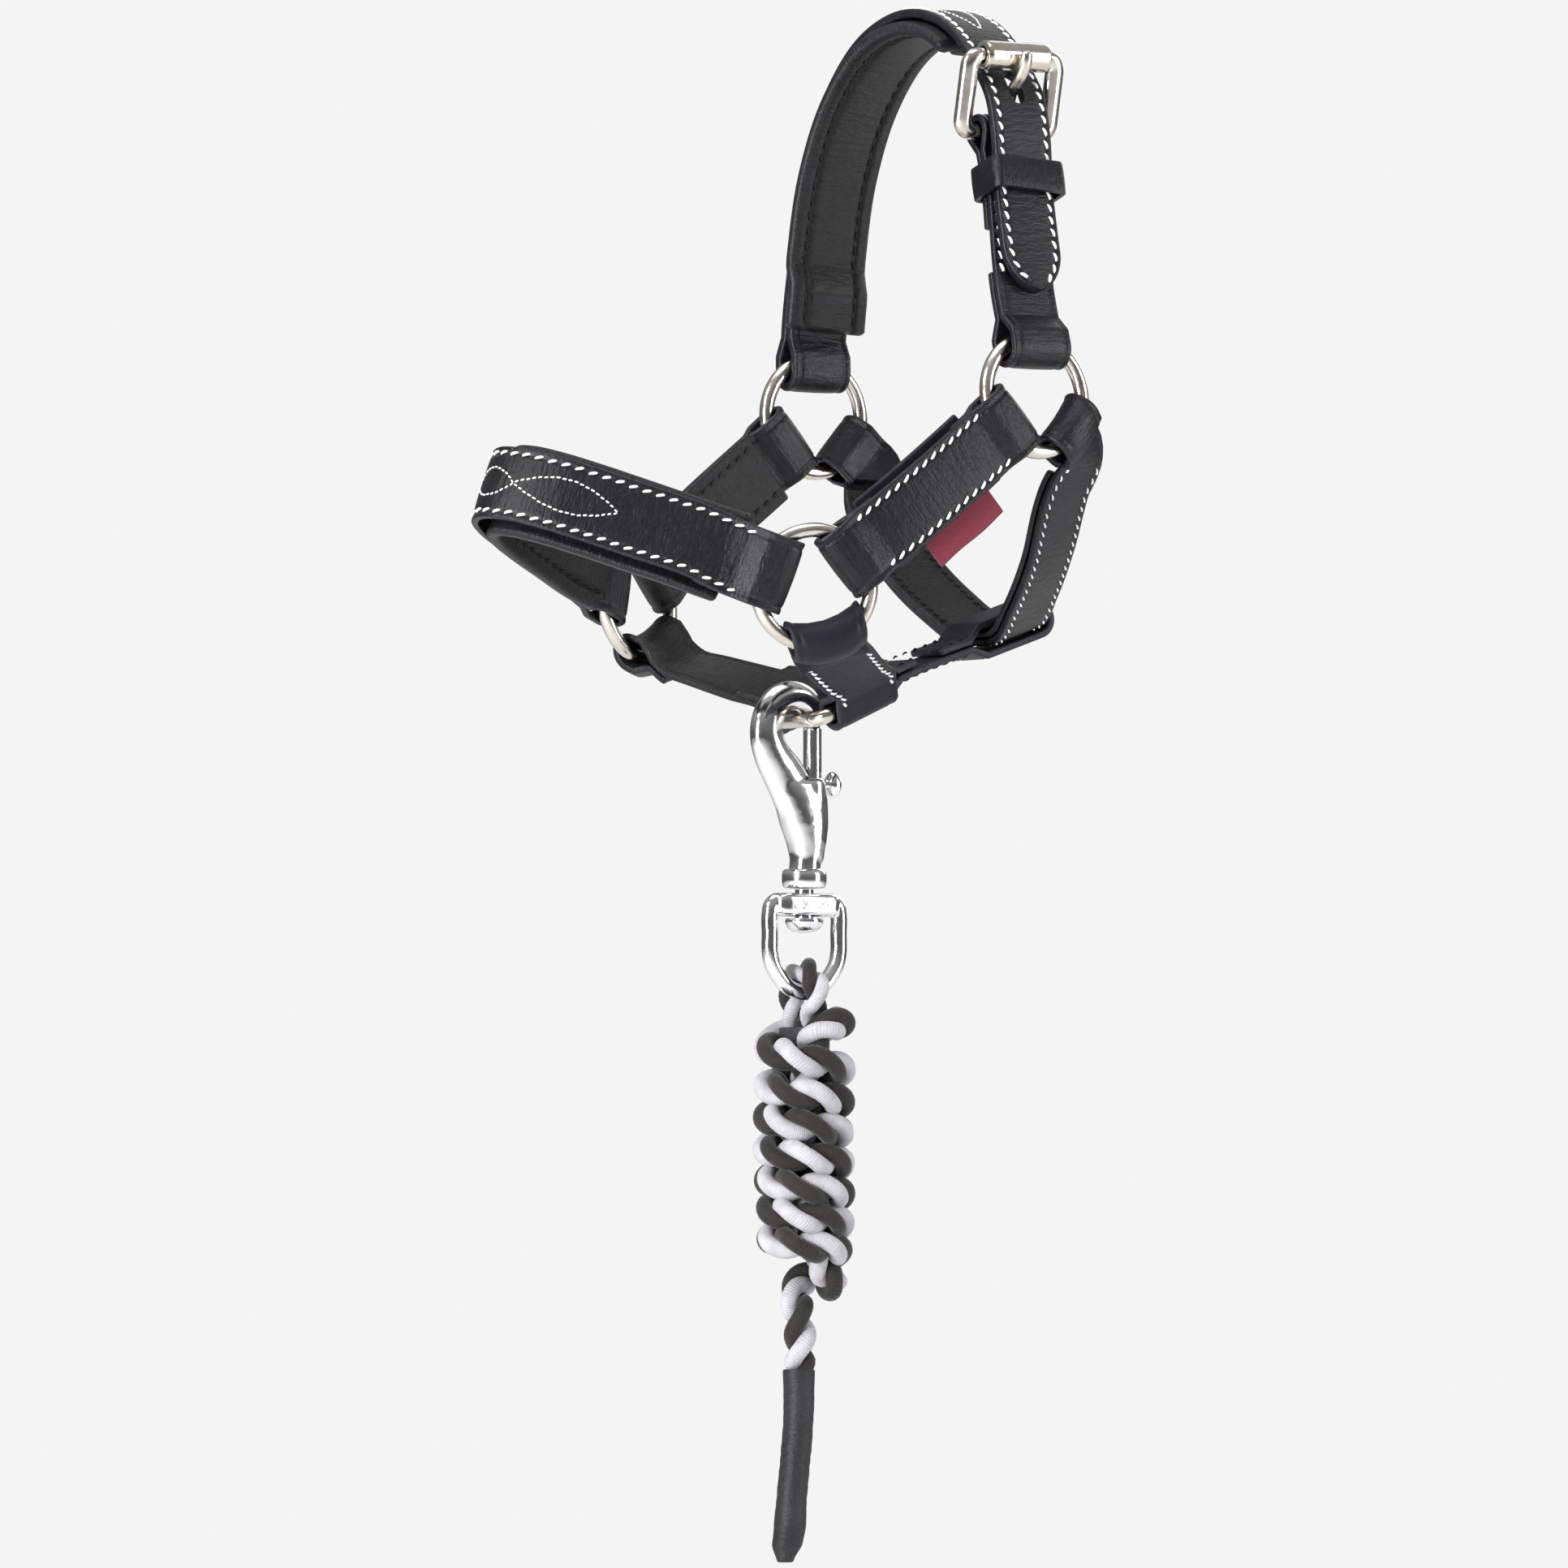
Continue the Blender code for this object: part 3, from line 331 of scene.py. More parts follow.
def nose_base():
    back, across = nose_axes()
    front = vec((-107.8, 0.0, -101.6))
    half = [(0.4, 0.0), (2.2, 5.6), (7.0, 10.6), (14.0, 14.8), (24.0, 19.4), (35.0, 24.4)]
    knots = []
    normals = []
    for side in (-1, 1):
        along, up, normal = lower_ring_plane(side)
        ring = mirror(LOWER, side)
        curve = [front + back * p + vec((0.0, side * y, 0.0)) for p, y in half[1:]]
        flat = []
        for i in range(len(curve)):
            t = unit(curve[min(i + 1, len(curve) - 1)] - curve[max(i - 1, 0)])
            flat.append(unit(np.cross(across, t)) * side)
        points = curve + [ring - along * 15.0, ring - along * 7.5, ring]
        flat = flat + [normal, normal, normal]
        if side < 0:
            points.reverse()
            flat.reverse()
            points.append(front + back * half[0][0])
            flat.append(-back)
        knots = knots + points
        normals = normals + flat
    return Base(knots, normals)


def leave(direction, normal, angle):
    a = math.radians(angle)
    return direction * math.cos(a) - normal * math.sin(a), normal * math.cos(a) + direction * math.sin(a)


def chin_base(side):
    """Straight line from a lower ring to the chin ring, with the width turning from one to the other."""
    along, up, normal = lower_ring_plane(side)
    radial = turn(along, up, -54.0)
    start = mirror(LOWER, side) + radial * RING_R
    d, n0 = leave(radial, normal, CHIN_LEAVE)
    rear = chin_axes()[0]
    centre = vec(CHIN_RING) + vec((0.0, side * CHIN_HALF, 0.0))
    away = unit(start - centre)
    away = unit(away - rear * float(np.dot(away, rear)))
    w0 = np.cross(d, n0)
    w1 = rear if float(np.dot(rear, w0)) > 0 else -rear
    leaving = start + d * 3.0
    span = centre + away * 4.6 - leaving
    knots = [start, leaving, leaving + span * 0.35, leaving + span * 0.7, centre + away * 4.6,
             centre + away * 2.2,
             centre]
    widths = [w0, w0, w0 * 0.67 + w1 * 0.33, w0 * 0.33 + w1 * 0.67, w1, w1, w1]
    return Base(knots, [n0] * 7, widths=widths)


def throat_base():
    knots = []
    normals = []
    for side in (-1, 1):
        normal = upper_ring_normal(side)
        radial = in_plane((0.76, 0.0, -0.65), normal)
        start = mirror(UPPER, side) + radial * RING_R
        d, n0 = leave(radial, normal, THROAT_LEAVE)
        half = [start, start + d * 2.5, start + d * 5.0, mirror((7.4, 35.0, -101.5), side),
                mirror((9.6, 26.0, -113.6), side), mirror((12.4, 15.5, -122.6), side),
                mirror((14.5, 6.8, -127.8), side)]
        flat = [n0, n0, n0, unit((0.22, 0.9 * side, -0.36)), unit((0.27, 0.75 * side, -0.6)),
                unit((0.31, 0.4 * side, -0.86)), unit((0.33, 0.0, -0.94))]
        if side > 0:
            half.reverse()
            flat.reverse()
        knots.append(half)
        normals.append(flat)
    bottom = [vec((14.6, 0.0, -128.0))]
    return Base(knots[0] + bottom + knots[1], normals[0] + [unit((0.33, 0.0, -0.94))] + normals[1])


# Materials

def shader_of(name):
    mat = bpy.data.materials.new(name)
    mat.use_nodes = True
    return mat, mat.node_tree.nodes, mat.node_tree.links, mat.node_tree.nodes["Principled BSDF"]


def coords(nodes, links, kind, scale):
    """Mapped coordinates: 'UV' is millimetres along and across a strap, 'Object' is metres."""
    source = nodes.new("ShaderNodeTexCoord")
    mapping = nodes.new("ShaderNodeMapping")
    mapping.inputs["Scale"].default_value = scale
    links.new(source.outputs[kind], mapping.inputs["Vector"])
    return mapping.outputs["Vector"]


def noise(nodes, links, vector, scale, detail=4.0, rough=0.55):
    node = nodes.new("ShaderNodeTexNoise")
    node.inputs["Scale"].default_value = scale
    node.inputs["Detail"].default_value = detail
    node.inputs["Roughness"].default_value = rough
    links.new(vector, node.inputs["Vector"])
    return node.outputs["Fac"]


def ramp(nodes, links, fac, stops):
    node = nodes.new("ShaderNodeValToRGB")
    while len(node.color_ramp.elements) < len(stops):
        node.color_ramp.elements.new(0.5)
    for element, (at, value) in zip(node.color_ramp.elements, stops):
        element.position = at
        element.color = (value[0], value[1], value[2],
                         1.0) if hasattr(value, "__len__") else (value,) * 3 + (1.0,)
    links.new(fac, node.inputs["Fac"])
    return node.outputs["Color"]


def maths(nodes, links, kind, a, b):
    node = nodes.new("ShaderNodeMath")
    node.operation = kind
    for socket, value in zip(node.inputs, (a, b)):
        if isinstance(value, float):
            socket.default_value = value
        else:
            links.new(value, socket)
    return node.outputs[0]


def bump(nodes, links, height, strength, distance, normal=None):
    node = nodes.new("ShaderNodeBump")
    node.inputs["Strength"].default_value = strength
    node.inputs["Distance"].default_value = distance
    links.new(height, node.inputs["Height"])
    if normal is not None:
        links.new(normal, node.inputs["Normal"])
    return node.outputs["Normal"]


def leather(name, dark, light, rough=(0.34, 0.52), grain=0.25, crease=0.35, specular=0.45):
    """Smooth dressed leather: pores, soft creases across the strap, and paler worn edges."""
    mat, nodes, links, shader = shader_of(name)
    metres = coords(nodes, links, "Object", (1.0, 1.0, 1.0))
    strip = coords(nodes, links, "UV", (0.22, 0.05, 1.0))
    cloud = noise(nodes, links, metres, 90.0, 5.0)
    fine = noise(nodes, links, metres, 900.0, 3.0)
    crosswise = noise(nodes, links, strip, 5.0, 6.0, 0.62)
    tone = maths(nodes, links, "ADD", maths(nodes, links, "MULTIPLY", cloud, 0.7),
                 maths(nodes, links, "MULTIPLY", crosswise, 0.3))
    base = ramp(nodes, links, tone, [(0.35, dark), (0.68, light)])
    edge = nodes.new("ShaderNodeAttribute")
    edge.attribute_name = "edge"
    worn = nodes.new("ShaderNodeMix")
    worn.data_type = "RGBA"
    worn.inputs[7].default_value = (light[0] * 2.2, light[1] * 2.2, light[2] * 2.3, 1.0)
    amount = maths(nodes, links, "MULTIPLY", edge.outputs["Fac"],
                   ramp(nodes, links, noise(nodes, links, metres, 420.0, 4.0), [(0.3, 0.15), (0.7, 0.8)]))
    links.new(amount, worn.inputs[0])
    links.new(base, worn.inputs[6])
    links.new(worn.outputs[2], shader.inputs["Base Color"])
    spread = maths(nodes, links, "ADD", maths(nodes, links, "MULTIPLY", fine, 0.4),
                   maths(nodes, links, "MULTIPLY", crosswise, 0.6))
    links.new(ramp(nodes, links, spread, [(0.3, rough[0]), (0.72, rough[1])]), shader.inputs["Roughness"])
    shader.inputs["Specular IOR Level"].default_value = specular
    pores = nodes.new("ShaderNodeTexVoronoi")
    pores.inputs["Scale"].default_value = 1500.0
    links.new(metres, pores.inputs["Vector"])
    first = bump(nodes, links, crosswise, crease, 0.0006)
    second = bump(nodes, links, cloud, 0.25, 0.0008, first)
    third = bump(nodes, links, pores.outputs["Distance"], grain, 0.00012, second)
    links.new(third, shader.inputs["Normal"])
    return mat


def thread(name, colour, rough=0.75):
    """Plied thread: fine slanting ribs along each stitch."""
    mat, nodes, links, shader = shader_of(name)
    strip = coords(nodes, links, "UV", (1.0, 0.3, 1.0))
    wave = nodes.new("ShaderNodeTexWave")
    wave.bands_direction = "DIAGONAL"
    wave.inputs["Scale"].default_value = 1.6
    wave.inputs["Distortion"].default_value = 0.6
    links.new(strip, wave.inputs["Vector"])
    shade = [c * 0.72 for c in colour]
    links.new(ramp(nodes, links, wave.outputs["Fac"], [(0.1, shade), (0.6, colour)]),
              shader.inputs["Base Color"])
    links.new(bump(nodes, links, wave.outputs["Fac"], 0.5, 0.00006), shader.inputs["Normal"])
    shader.inputs["Roughness"].default_value = rough
    shader.inputs["Specular IOR Level"].default_value = 0.3
    return mat


def metal(name, colour, rough, haze=0.06, warm=None):
    """Plated metal with faint polishing haze and small casting waves."""
    mat, nodes, links, shader = shader_of(name)
    metres = coords(nodes, links, "Object", (1.0, 1.0, 1.0))
    cloud = noise(nodes, links, metres, 130.0, 4.0)
    second = warm if warm else [c * 0.9 for c in colour]
    links.new(ramp(nodes, links, cloud, [(0.35, second), (0.65, colour)]), shader.inputs["Base Color"])
    links.new(ramp(nodes, links, noise(nodes, links, metres, 700.0, 5.0),
                   [(0.3, rough), (0.75, rough + haze)]),
              shader.inputs["Roughness"])
    shader.inputs["Metallic"].default_value = 1.0
    links.new(bump(nodes, links, cloud, 0.18, 0.0006), shader.inputs["Normal"])
    return mat


def cord_fabric(name, dark, light):
    """A strand wrapped in fine yarn: ribs run round it, slightly aslant, with a soft sheen."""
    mat, nodes, links, shader = shader_of(name)
    strip = coords(nodes, links, "UV", (1.0, 0.16, 1.0))
    wave = nodes.new("ShaderNodeTexWave")
    wave.bands_direction = "X"
    wave.inputs["Scale"].default_value = 1.0
    wave.inputs["Distortion"].default_value = 3.0
    wave.inputs["Detail"].default_value = 2.0
    wave.inputs["Detail Scale"].default_value = 1.2
    links.new(strip, wave.inputs["Vector"])
    metres = coords(nodes, links, "Object", (1.0, 1.0, 1.0))
    patch = noise(nodes, links, metres, 260.0, 4.0)
    fuzz = noise(nodes, links, metres, 3500.0, 2.0)
    mixed = maths(nodes, links, "ADD", maths(nodes, links, "MULTIPLY", wave.outputs["Fac"], 0.2),
                  maths(nodes, links, "MULTIPLY", patch, 0.8))
    links.new(ramp(nodes, links, mixed, [(0.2, dark), (0.62, light)]), shader.inputs["Base Color"])
    first = bump(nodes, links, wave.outputs["Fac"], 0.6, 0.0001)
    links.new(bump(nodes, links, fuzz, 0.3, 0.0001, first), shader.inputs["Normal"])
    shader.inputs["Roughness"].default_value = 0.72
    shader.inputs["Specular IOR Level"].default_value = 0.3
    shader.inputs["Sheen Weight"].default_value = 0.25
    shader.inputs["Sheen Roughness"].default_value = 0.4
    return mat


def woven(name, dark, light):
    """Fine woven tape."""
    mat, nodes, links, shader = shader_of(name)
    strip = coords(nodes, links, "UV", (1.0, 1.0, 1.0))
    waves = []
    for direction in ("X", "Y"):
        wave = nodes.new("ShaderNodeTexWave")
        wave.bands_direction = direction
        wave.inputs["Scale"].default_value = 1.1
        links.new(strip, wave.inputs["Vector"])
        waves.append(wave.outputs["Fac"])
    weave = maths(nodes, links, "MULTIPLY", waves[0], waves[1])
    links.new(ramp(nodes, links, weave, [(0.0, dark), (0.6, light)]), shader.inputs["Base Color"])
    links.new(bump(nodes, links, weave, 0.6, 0.0001), shader.inputs["Normal"])
    shader.inputs["Roughness"].default_value = 0.7
    shader.inputs["Sheen Weight"].default_value = 0.2
    return mat


INK = (0.0026, 0.0026, 0.0038)
SLATE = (0.0064, 0.0063, 0.0092)
STRAP = leather("strap_leather", INK, SLATE, (0.25, 0.40), 0.3, 0.6, 0.36)
SMOOTH = leather("smooth_leather", (0.0080, 0.0073, 0.0112), (0.0130, 0.0120, 0.0180), (0.38, 0.52), 0.15,
                 0.15, 0.2)
# Dark lining leather; on the far chin strap and far cheek backing it is also painted shade for the far side.
LINING_AND_FAR_SHADE = leather("lining_and_far_shade_leather", (0.0030, 0.0029, 0.0034), (0.0075, 0.0072, 0.0085), (0.26, 0.42), 0.35,
                 0.9, 0.34)
WHITE = thread("white_thread", (0.93, 0.92, 0.90), 0.6)
BLACK = thread("black_thread", (0.012, 0.012, 0.013))
NICKEL = metal("nickel_plate", (0.72, 0.69, 0.64), 0.16, 0.12, (0.60, 0.54, 0.46))
CHROME = metal("chrome_plate", (0.84, 0.84, 0.85), 0.10, 0.08)


# Pieces

def finish_piece(name, bm, mats, body, nodes=(), angle=50.0):
    mesh = bpy.data.meshes.new(name)
    bm.to_mesh(mesh)
    bm.free()
    item = bpy.data.objects.new(name, mesh)
    bpy.context.scene.collection.objects.link(item)
    for mat in mats:
        mesh.materials.append(mat)
    mesh.shade_smooth()
    mesh.set_sharp_from_angle(angle=math.radians(angle))
    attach(item, body)
    if nodes:
        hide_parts(*nodes)
    return item


def add_skin(bm, sections, us, vs, edges=None, closed=False, index=0):
    """Adds a skin through sections of equally many points; us and vs are its texture millimetres."""
    uv = bm.loops.layers.uv.verify()
    layer = bm.verts.layers.float.get("edge") or bm.verts.layers.float.new("edge")
    rings = []
    for section in sections:
        rings.append([bm.verts.new(put(p)) for p in section])
    count = len(rings[0])
    if edges is not None:
        for ring in rings:
            for vert, value in zip(ring, edges):
                vert[layer] = value
    spans = len(rings) if closed else len(rings) - 1
    step = us[-1] - us[-2]
    for i in range(spans):
        a, b = rings[i], rings[(i + 1) % len(rings)]
        ub = us[i + 1] if i + 1 < len(rings) else us[-1] + step
        for j in range(count):
            k = (j + 1) % count
            face = bm.faces.new((a[j], a[k], b[k], b[j]))
            face.material_index = index
            vk = vs[k] if k else vs[-1] + (vs[-1] - vs[-2])
            for loop, value in zip(face.loops, ((us[i], vs[j]), (us[i], vk), (ub, vk), (ub, vs[j]))):
                loop[uv].uv = value
    if not closed:
        for ring, start in ((list(reversed(rings[0])), 0), (rings[-1], 1)):
            face = bm.faces.new(ring)
            face.material_index = index
            for loop in face.loops:
                loop[uv].uv = (us[-1 if start else 0], 0.0)
    return rings


def strip_section(half, h, edge=0.45, top=None, bottom=None, inner=()):
    """(x, y, edge) points round a strip's section; top and bottom raise its two faces."""
    e = min(edge, h * 0.9)
    flat = half - e
    xs = sorted(set([-flat, flat, 0.0] + [s * x for x in inner for s in (-1, 1)]
                    + [flat * f for f in (-0.75, -0.45, 0.45, 0.75)]))
    xs = [x for x in xs if -flat <= x <= flat]
    out = []
    for x in xs:
        out.append((x, -h - (bottom(x) if bottom else 0.0), 0.0))
    for k in range(1, 6):
        a = -math.pi / 2 + math.pi / 12 * k * 1.0
        out.append((flat + e * math.cos(a), -h + e + e * math.sin(a), 0.9))
    for k in range(1, 6):
        a = math.pi / 12 * k
        out.append((flat + e * math.cos(a), h - e + e * math.sin(a), 0.9))
    for x in reversed(xs):
        out.append((x, h + (top(x) if top else 0.0), 0.0))
    for k in range(1, 6):
        a = math.pi / 2 + math.pi / 12 * k
        out.append((-flat + e * math.cos(a), h - e + e * math.sin(a), 0.9))
    for k in range(1, 6):
        a = math.pi + math.pi / 12 * k
        out.append((-flat + e * math.cos(a), -h + e + e * math.sin(a), 0.9))
    return out


def groove(at, depth=0.14, wide=0.45, crown=0.0):
    """Height of a face with a pressed stitch line at both sides and a slight crown between."""

    def height(x):
        dip = depth * math.exp(-((abs(x) - at) / wide) ** 2)
        return crown * max(0.0, 1.0 - (x / at) ** 2) - dip

    return height


def around(at):
    return (at - 1.0, at - 0.5, at - 0.2, at, at + 0.2, at + 0.5)


def with_ends(pts, radius):
    """Adds points near both ends, and how far the section is drawn in there, so that ends are rounded."""
    radius = max(radius, 0.05)
    marks = [0.0, 0.08, 0.3, 0.62, 1.0]
    out = []
    for side in (0, 1):
        line = pts if side == 0 else list(reversed(pts))
        size = math.dist(line[0], line[1])
        near = []
        for f in marks:
            k = min(1.0, f * radius / size)
            near.append(((line[0][0] + (line[1][0] - line[0][0]) * k,
                          line[0][1] + (line[1][1] - line[0][1]) * k),
                         radius - math.sqrt(max(0.0, radius ** 2 - (radius * (1.0 - f)) ** 2))))
        near = [item for item in near if math.dist(item[0], line[0]) < size * 0.97]
        out.append(near)
    rows = out[0] + [(p, 0.0) for p in pts[1:-1]] + list(reversed(out[1]))
    return [p for p, d in rows], [min(d, 0.85 * radius) for p, d in rows]


def strap(name, base, path, width, thickness, mat, nodes, body="headcollar", tip=None, bow=None, edge=0.45,
          top=None, bottom=None, inner=(), step=1.1, shape=None, end_edge=0.3):
    """A strip of leather with rounded edges that follows a (distance, offset) path over a base line."""
    pts, drawn = with_ends(dense(path, step), end_edge)
    half0 = 0.5 * width
    section = strip_section(half0, 0.5 * thickness, edge, top, bottom, inner)
    vs = [x for x, y, e in section]
    sections = []
    us = [0.0]
    for i, (s, off) in enumerate(pts):
        a = pts[max(i - 1, 0)]
        b = pts[min(i + 1, len(pts) - 1)]
        ds, do = b[0] - a[0], b[1] - a[1]
        size = math.hypot(ds, do)
        p, t, n, w = base.at(s)
        c = p + n * off
        normal = (-do * t + ds * n) / size
        half = half0
        if tip is not None:
            half = min(half, tip(s))
        rows = []
        half = half - drawn[i]
        k = half / half0
        flat = 1.0 - drawn[i] / (0.5 * thickness)
        for x, y, e in section:
            grow = shape(s, x, y) if shape else 0.0
            rows.append(c + w * x * k + normal * (y + grow) * flat + n * (bow(x * k, s) if bow else 0.0))
        sections.append(rows)
        if i:
            us.append(us[-1] + math.dist(pts[i], pts[i - 1]))
    bm = bmesh.new()
    add_skin(bm, sections, us, vs, [e for x, y, e in section])
    bmesh.ops.recalc_face_normals(bm, faces=bm.faces)
    return finish_piece(name, bm, [mat], body, nodes)


def tube_rings(points, radii, side=(0.0, 1.0, 0.0), count=24, closed=False):
    """Sections of an oval bar along the points; a radius is one number or (in plane, along side)."""
    pts = [vec(p) for p in points]
    sections = []
    for i, p in enumerate(pts):
        if closed:
            t = unit(pts[(i + 1) % len(pts)] - pts[i - 1])
        else:
            t = unit(pts[min(i + 1, len(pts) - 1)] - pts[max(i - 1, 0)])
        across = unit(vec(side) - t * float(np.dot(side, t)))
        up = np.cross(t, across)
        r = radii[i] if isinstance(radii, (list, tuple, np.ndarray)) else radii
        ra, rb = r if hasattr(r, "__len__") else (r, r)
        ring = []
        for j in range(count):
            u = 2 * math.pi * j / count
            ring.append(p + up * ra * math.cos(u) + across * rb * math.sin(u))
        sections.append(ring)
    return sections


def tube(name, points, radii, mat, nodes, body, side=(0.0, 1.0, 0.0), closed=False, count=24,
         angle=50.0):
    bm = bmesh.new()
    us = chord_lengths(points)
    vs = [10.0 * j / count for j in range(count)]
    add_skin(bm, tube_rings(points, radii, side, count, closed), us, vs, None, closed)
    bmesh.ops.recalc_face_normals(bm, faces=bm.faces)
    return finish_piece(name, bm, [mat], body, nodes, angle)


# Stitching

def row_on(base, s0, s1, x, off, bow=None, step=0.6, wander=None):
    """Points and outward normals of a stitch line x mm from the middle of a strap."""
    count = max(2, int(abs(s1 - s0) / step))
    out = []
    for i in range(count + 1):
        s = s0 + (s1 - s0) * i / count
        p, t, n, w = base.at(s)
        across = wander(s) if wander else x
        out.append((p + w * across + n * (off + (bow(across, s) if bow else 0.0)), n))
    return out


def pair_of_rows(base, s0, s1, at, off, bow=None):
    return [row_on(base, s0, s1, sign * at, off, bow) for sign in (1.0, -1.0)]


def turned_over(rows):
    return [[(p, -n) for p, n in row] for row in rows]


def stitches(name, rows, mat, body="headcollar", pitch=2.65, length=1.9, radius=0.33, slant=0.36, lift=0.16,
             knots=True):
    """One mesh of separate stitches: each dives into the leather at both ends."""
    bm = bmesh.new()
    for row in rows:
        pts = np.array([p for p, n in row])
        nrm = np.array([n for p, n in row])
        s = np.array(chord_lengths(pts))
        count = max(1, int(round((s[-1] - length) / pitch)) + 1)
        real = (s[-1] - length) / max(1, count - 1)
        for i in range(count):
            middle = 0.5 * length + real * i
            big = 1.25 if knots and i in (0, count - 1) else 1.0
            wobble = 0.09 * math.sin(12.9898 * (i + 1.7 * len(row)) * 1.3)
            sections = []
            us = []
            for k in range(9):
                f = -1.0 + 0.25 * k
                at = middle + 0.5 * length * f
                p = vec([np.interp(at, s, pts[:, q]) for q in range(3)])
                n = unit([np.interp(at, s, nrm[:, q]) for q in range(3)])
                ahead = vec([np.interp(min(at + 0.3, s[-1]), s, pts[:, q]) for q in range(3)])
                behind = vec([np.interp(max(at - 0.3, 0.0), s, pts[:, q]) for q in range(3)])
                t = unit(ahead - behind)
                side = np.cross(n, t)
                r = radius * big * math.sqrt(max(0.05, 1.0 - abs(f) ** 3.0))
                c = p + side * (slant * f + wobble * 0.6) + n * (lift - 0.42 * radius / 0.34 * abs(f) ** 3)
                ring = []
                for j in range(8):
                    a = 2 * math.pi * j / 8
                    ring.append(c + side * r * math.cos(a) + n * r * 0.85 * math.sin(a))
                sections.append(ring)
                us.append(at)
            add_skin(bm, sections, us, [0.3 * j for j in range(8)])
    bmesh.ops.recalc_face_normals(bm, faces=bm.faces)
    return finish_piece(name, bm, [mat], body, (), 80.0)


# Leather parts

HALF = 0.5 * (LEATHER + SLIT)
FACE = 0.5 * LEATHER


def crown_tip(end, inset=0.0):
    def half(s):
        left = min(max(end - s, 0.0) / 8.5, 1.0)
        return 0.9 + (0.5 * CROWN_W - 0.9) * (1.0 - (1.0 - left) ** 1.75) ** 0.62 - inset

    return half


def cut(item, cutter):
    """Takes the cutter's shape out of a piece for good."""
    mod = item.modifiers.new("cut", "BOOLEAN")
    mod.operation = "DIFFERENCE"
    mod.solver = "EXACT"
    mod.object = cutter
    apply_modifiers(item)
    bpy.data.objects.remove(cutter, do_unlink=True)


def apply_modifiers(item):
    graph = bpy.context.evaluated_depsgraph_get()
    mesh = bpy.data.meshes.new_from_object(item.evaluated_get(graph))
    item.modifiers.clear()
    item.data = mesh
    mesh.shade_smooth()
    mesh.set_sharp_from_angle(angle=math.radians(40.0))


def plain_skin(bm, sections, closed=False):
    """A skin whose two UV directions simply count the sections and their points."""
    along = [float(i) for i in range(len(sections))]
    round_it = [float(j) for j in range(len(sections[0]))]
    add_skin(bm, sections, along, round_it, None, closed)


def cutter_from(sections):
    bm = bmesh.new()
    plain_skin(bm, sections)
    bmesh.ops.recalc_face_normals(bm, faces=bm.faces)
    mesh = bpy.data.meshes.new("cutter")
    bm.to_mesh(mesh)
    bm.free()
    item = bpy.data.objects.new("cutter", mesh)
    bpy.context.scene.collection.objects.link(item)
    return item


def long_hole(p, w, t, n, half_w, half_t, depth):
    """A slot with round ends, cut straight through along n."""
    ring = []
    for k in range(24):
        a = 2 * math.pi * k / 24
        shift = (half_t - half_w) * (1.0 if math.sin(a) >= 0 else -1.0)
        ring.append(w * half_w * math.cos(a) + t * (half_w * math.sin(a) + shift))
    return cutter_from([[p + n * d + o for o in ring] for d in (-depth, depth)])


def build_crown():
    base = crown_base()
    m = 0.5 * (CROWN_T + SLIT)
    end = base.length - 0.5
    path = ring_end(CROWN_W, CROWN_T, 0.0, -2 * m)
    path = path + [(end - 7.5, 0.0)] + [(end - 7.5 * (1.0 - k / 14.0) ** 2, 0.0) for k in range(1, 15)]
    at = 0.5 * CROWN_W - 1.6
    item = strap("crown_leather", base, path, CROWN_W, CROWN_T, STRAP, ("crown_strap",), tip=crown_tip(end),
                 edge=0.6, top=groove(at, 0.16, 0.4, 0.12), inner=around(at))
    distance = np.linalg.norm(base.p - vec((-1.0, -28.4, -18.6)), axis=1)
    p, t, n, w = base.at(float(base.s[int(np.argmin(distance))]))
    cut(item, long_hole(p, w, t, n, 1.7, 4.2, 3.0))
    off = 0.5 * CROWN_T
    half = crown_tip(end, 1.6)

    def edge_row(sign):
        return row_on(base, 13.5, end - 1.9, 0.0, off, wander=lambda s: sign * min(at, max(0.25, half(s))))

    near = edge_row(1.0)
    far = edge_row(-1.0)
    stitches("crown_stitching", [near, far], WHITE, pitch=2.7)
    waves = []
    for sign in (1.0, -1.0):
        waves.append(row_on(base, 87.0, 120.5, 0.0, off, step=0.4,
                            wander=lambda s, k=sign: k * 3.2 * math.sin(math.pi * (s - 87.0) / 33.5) ** 0.8))
    stitches("crown_fancy_stitching", waves, WHITE, pitch=1.25, length=1.0, radius=0.2, slant=0.05,
             knots=False)
    return base


def channel_puff(width, lines, depth, swell, puff):
    """Stuffed inner face: it swells between sewn lines and is drawn in along them."""

    def face(x):
        value = swell * max(0.0, 1.0 - (2 * abs(x) / width) ** 2.4)
        for at in lines:
            value -= depth * math.exp(-((abs(x) - at) / puff) ** 2)
        return value

    return face


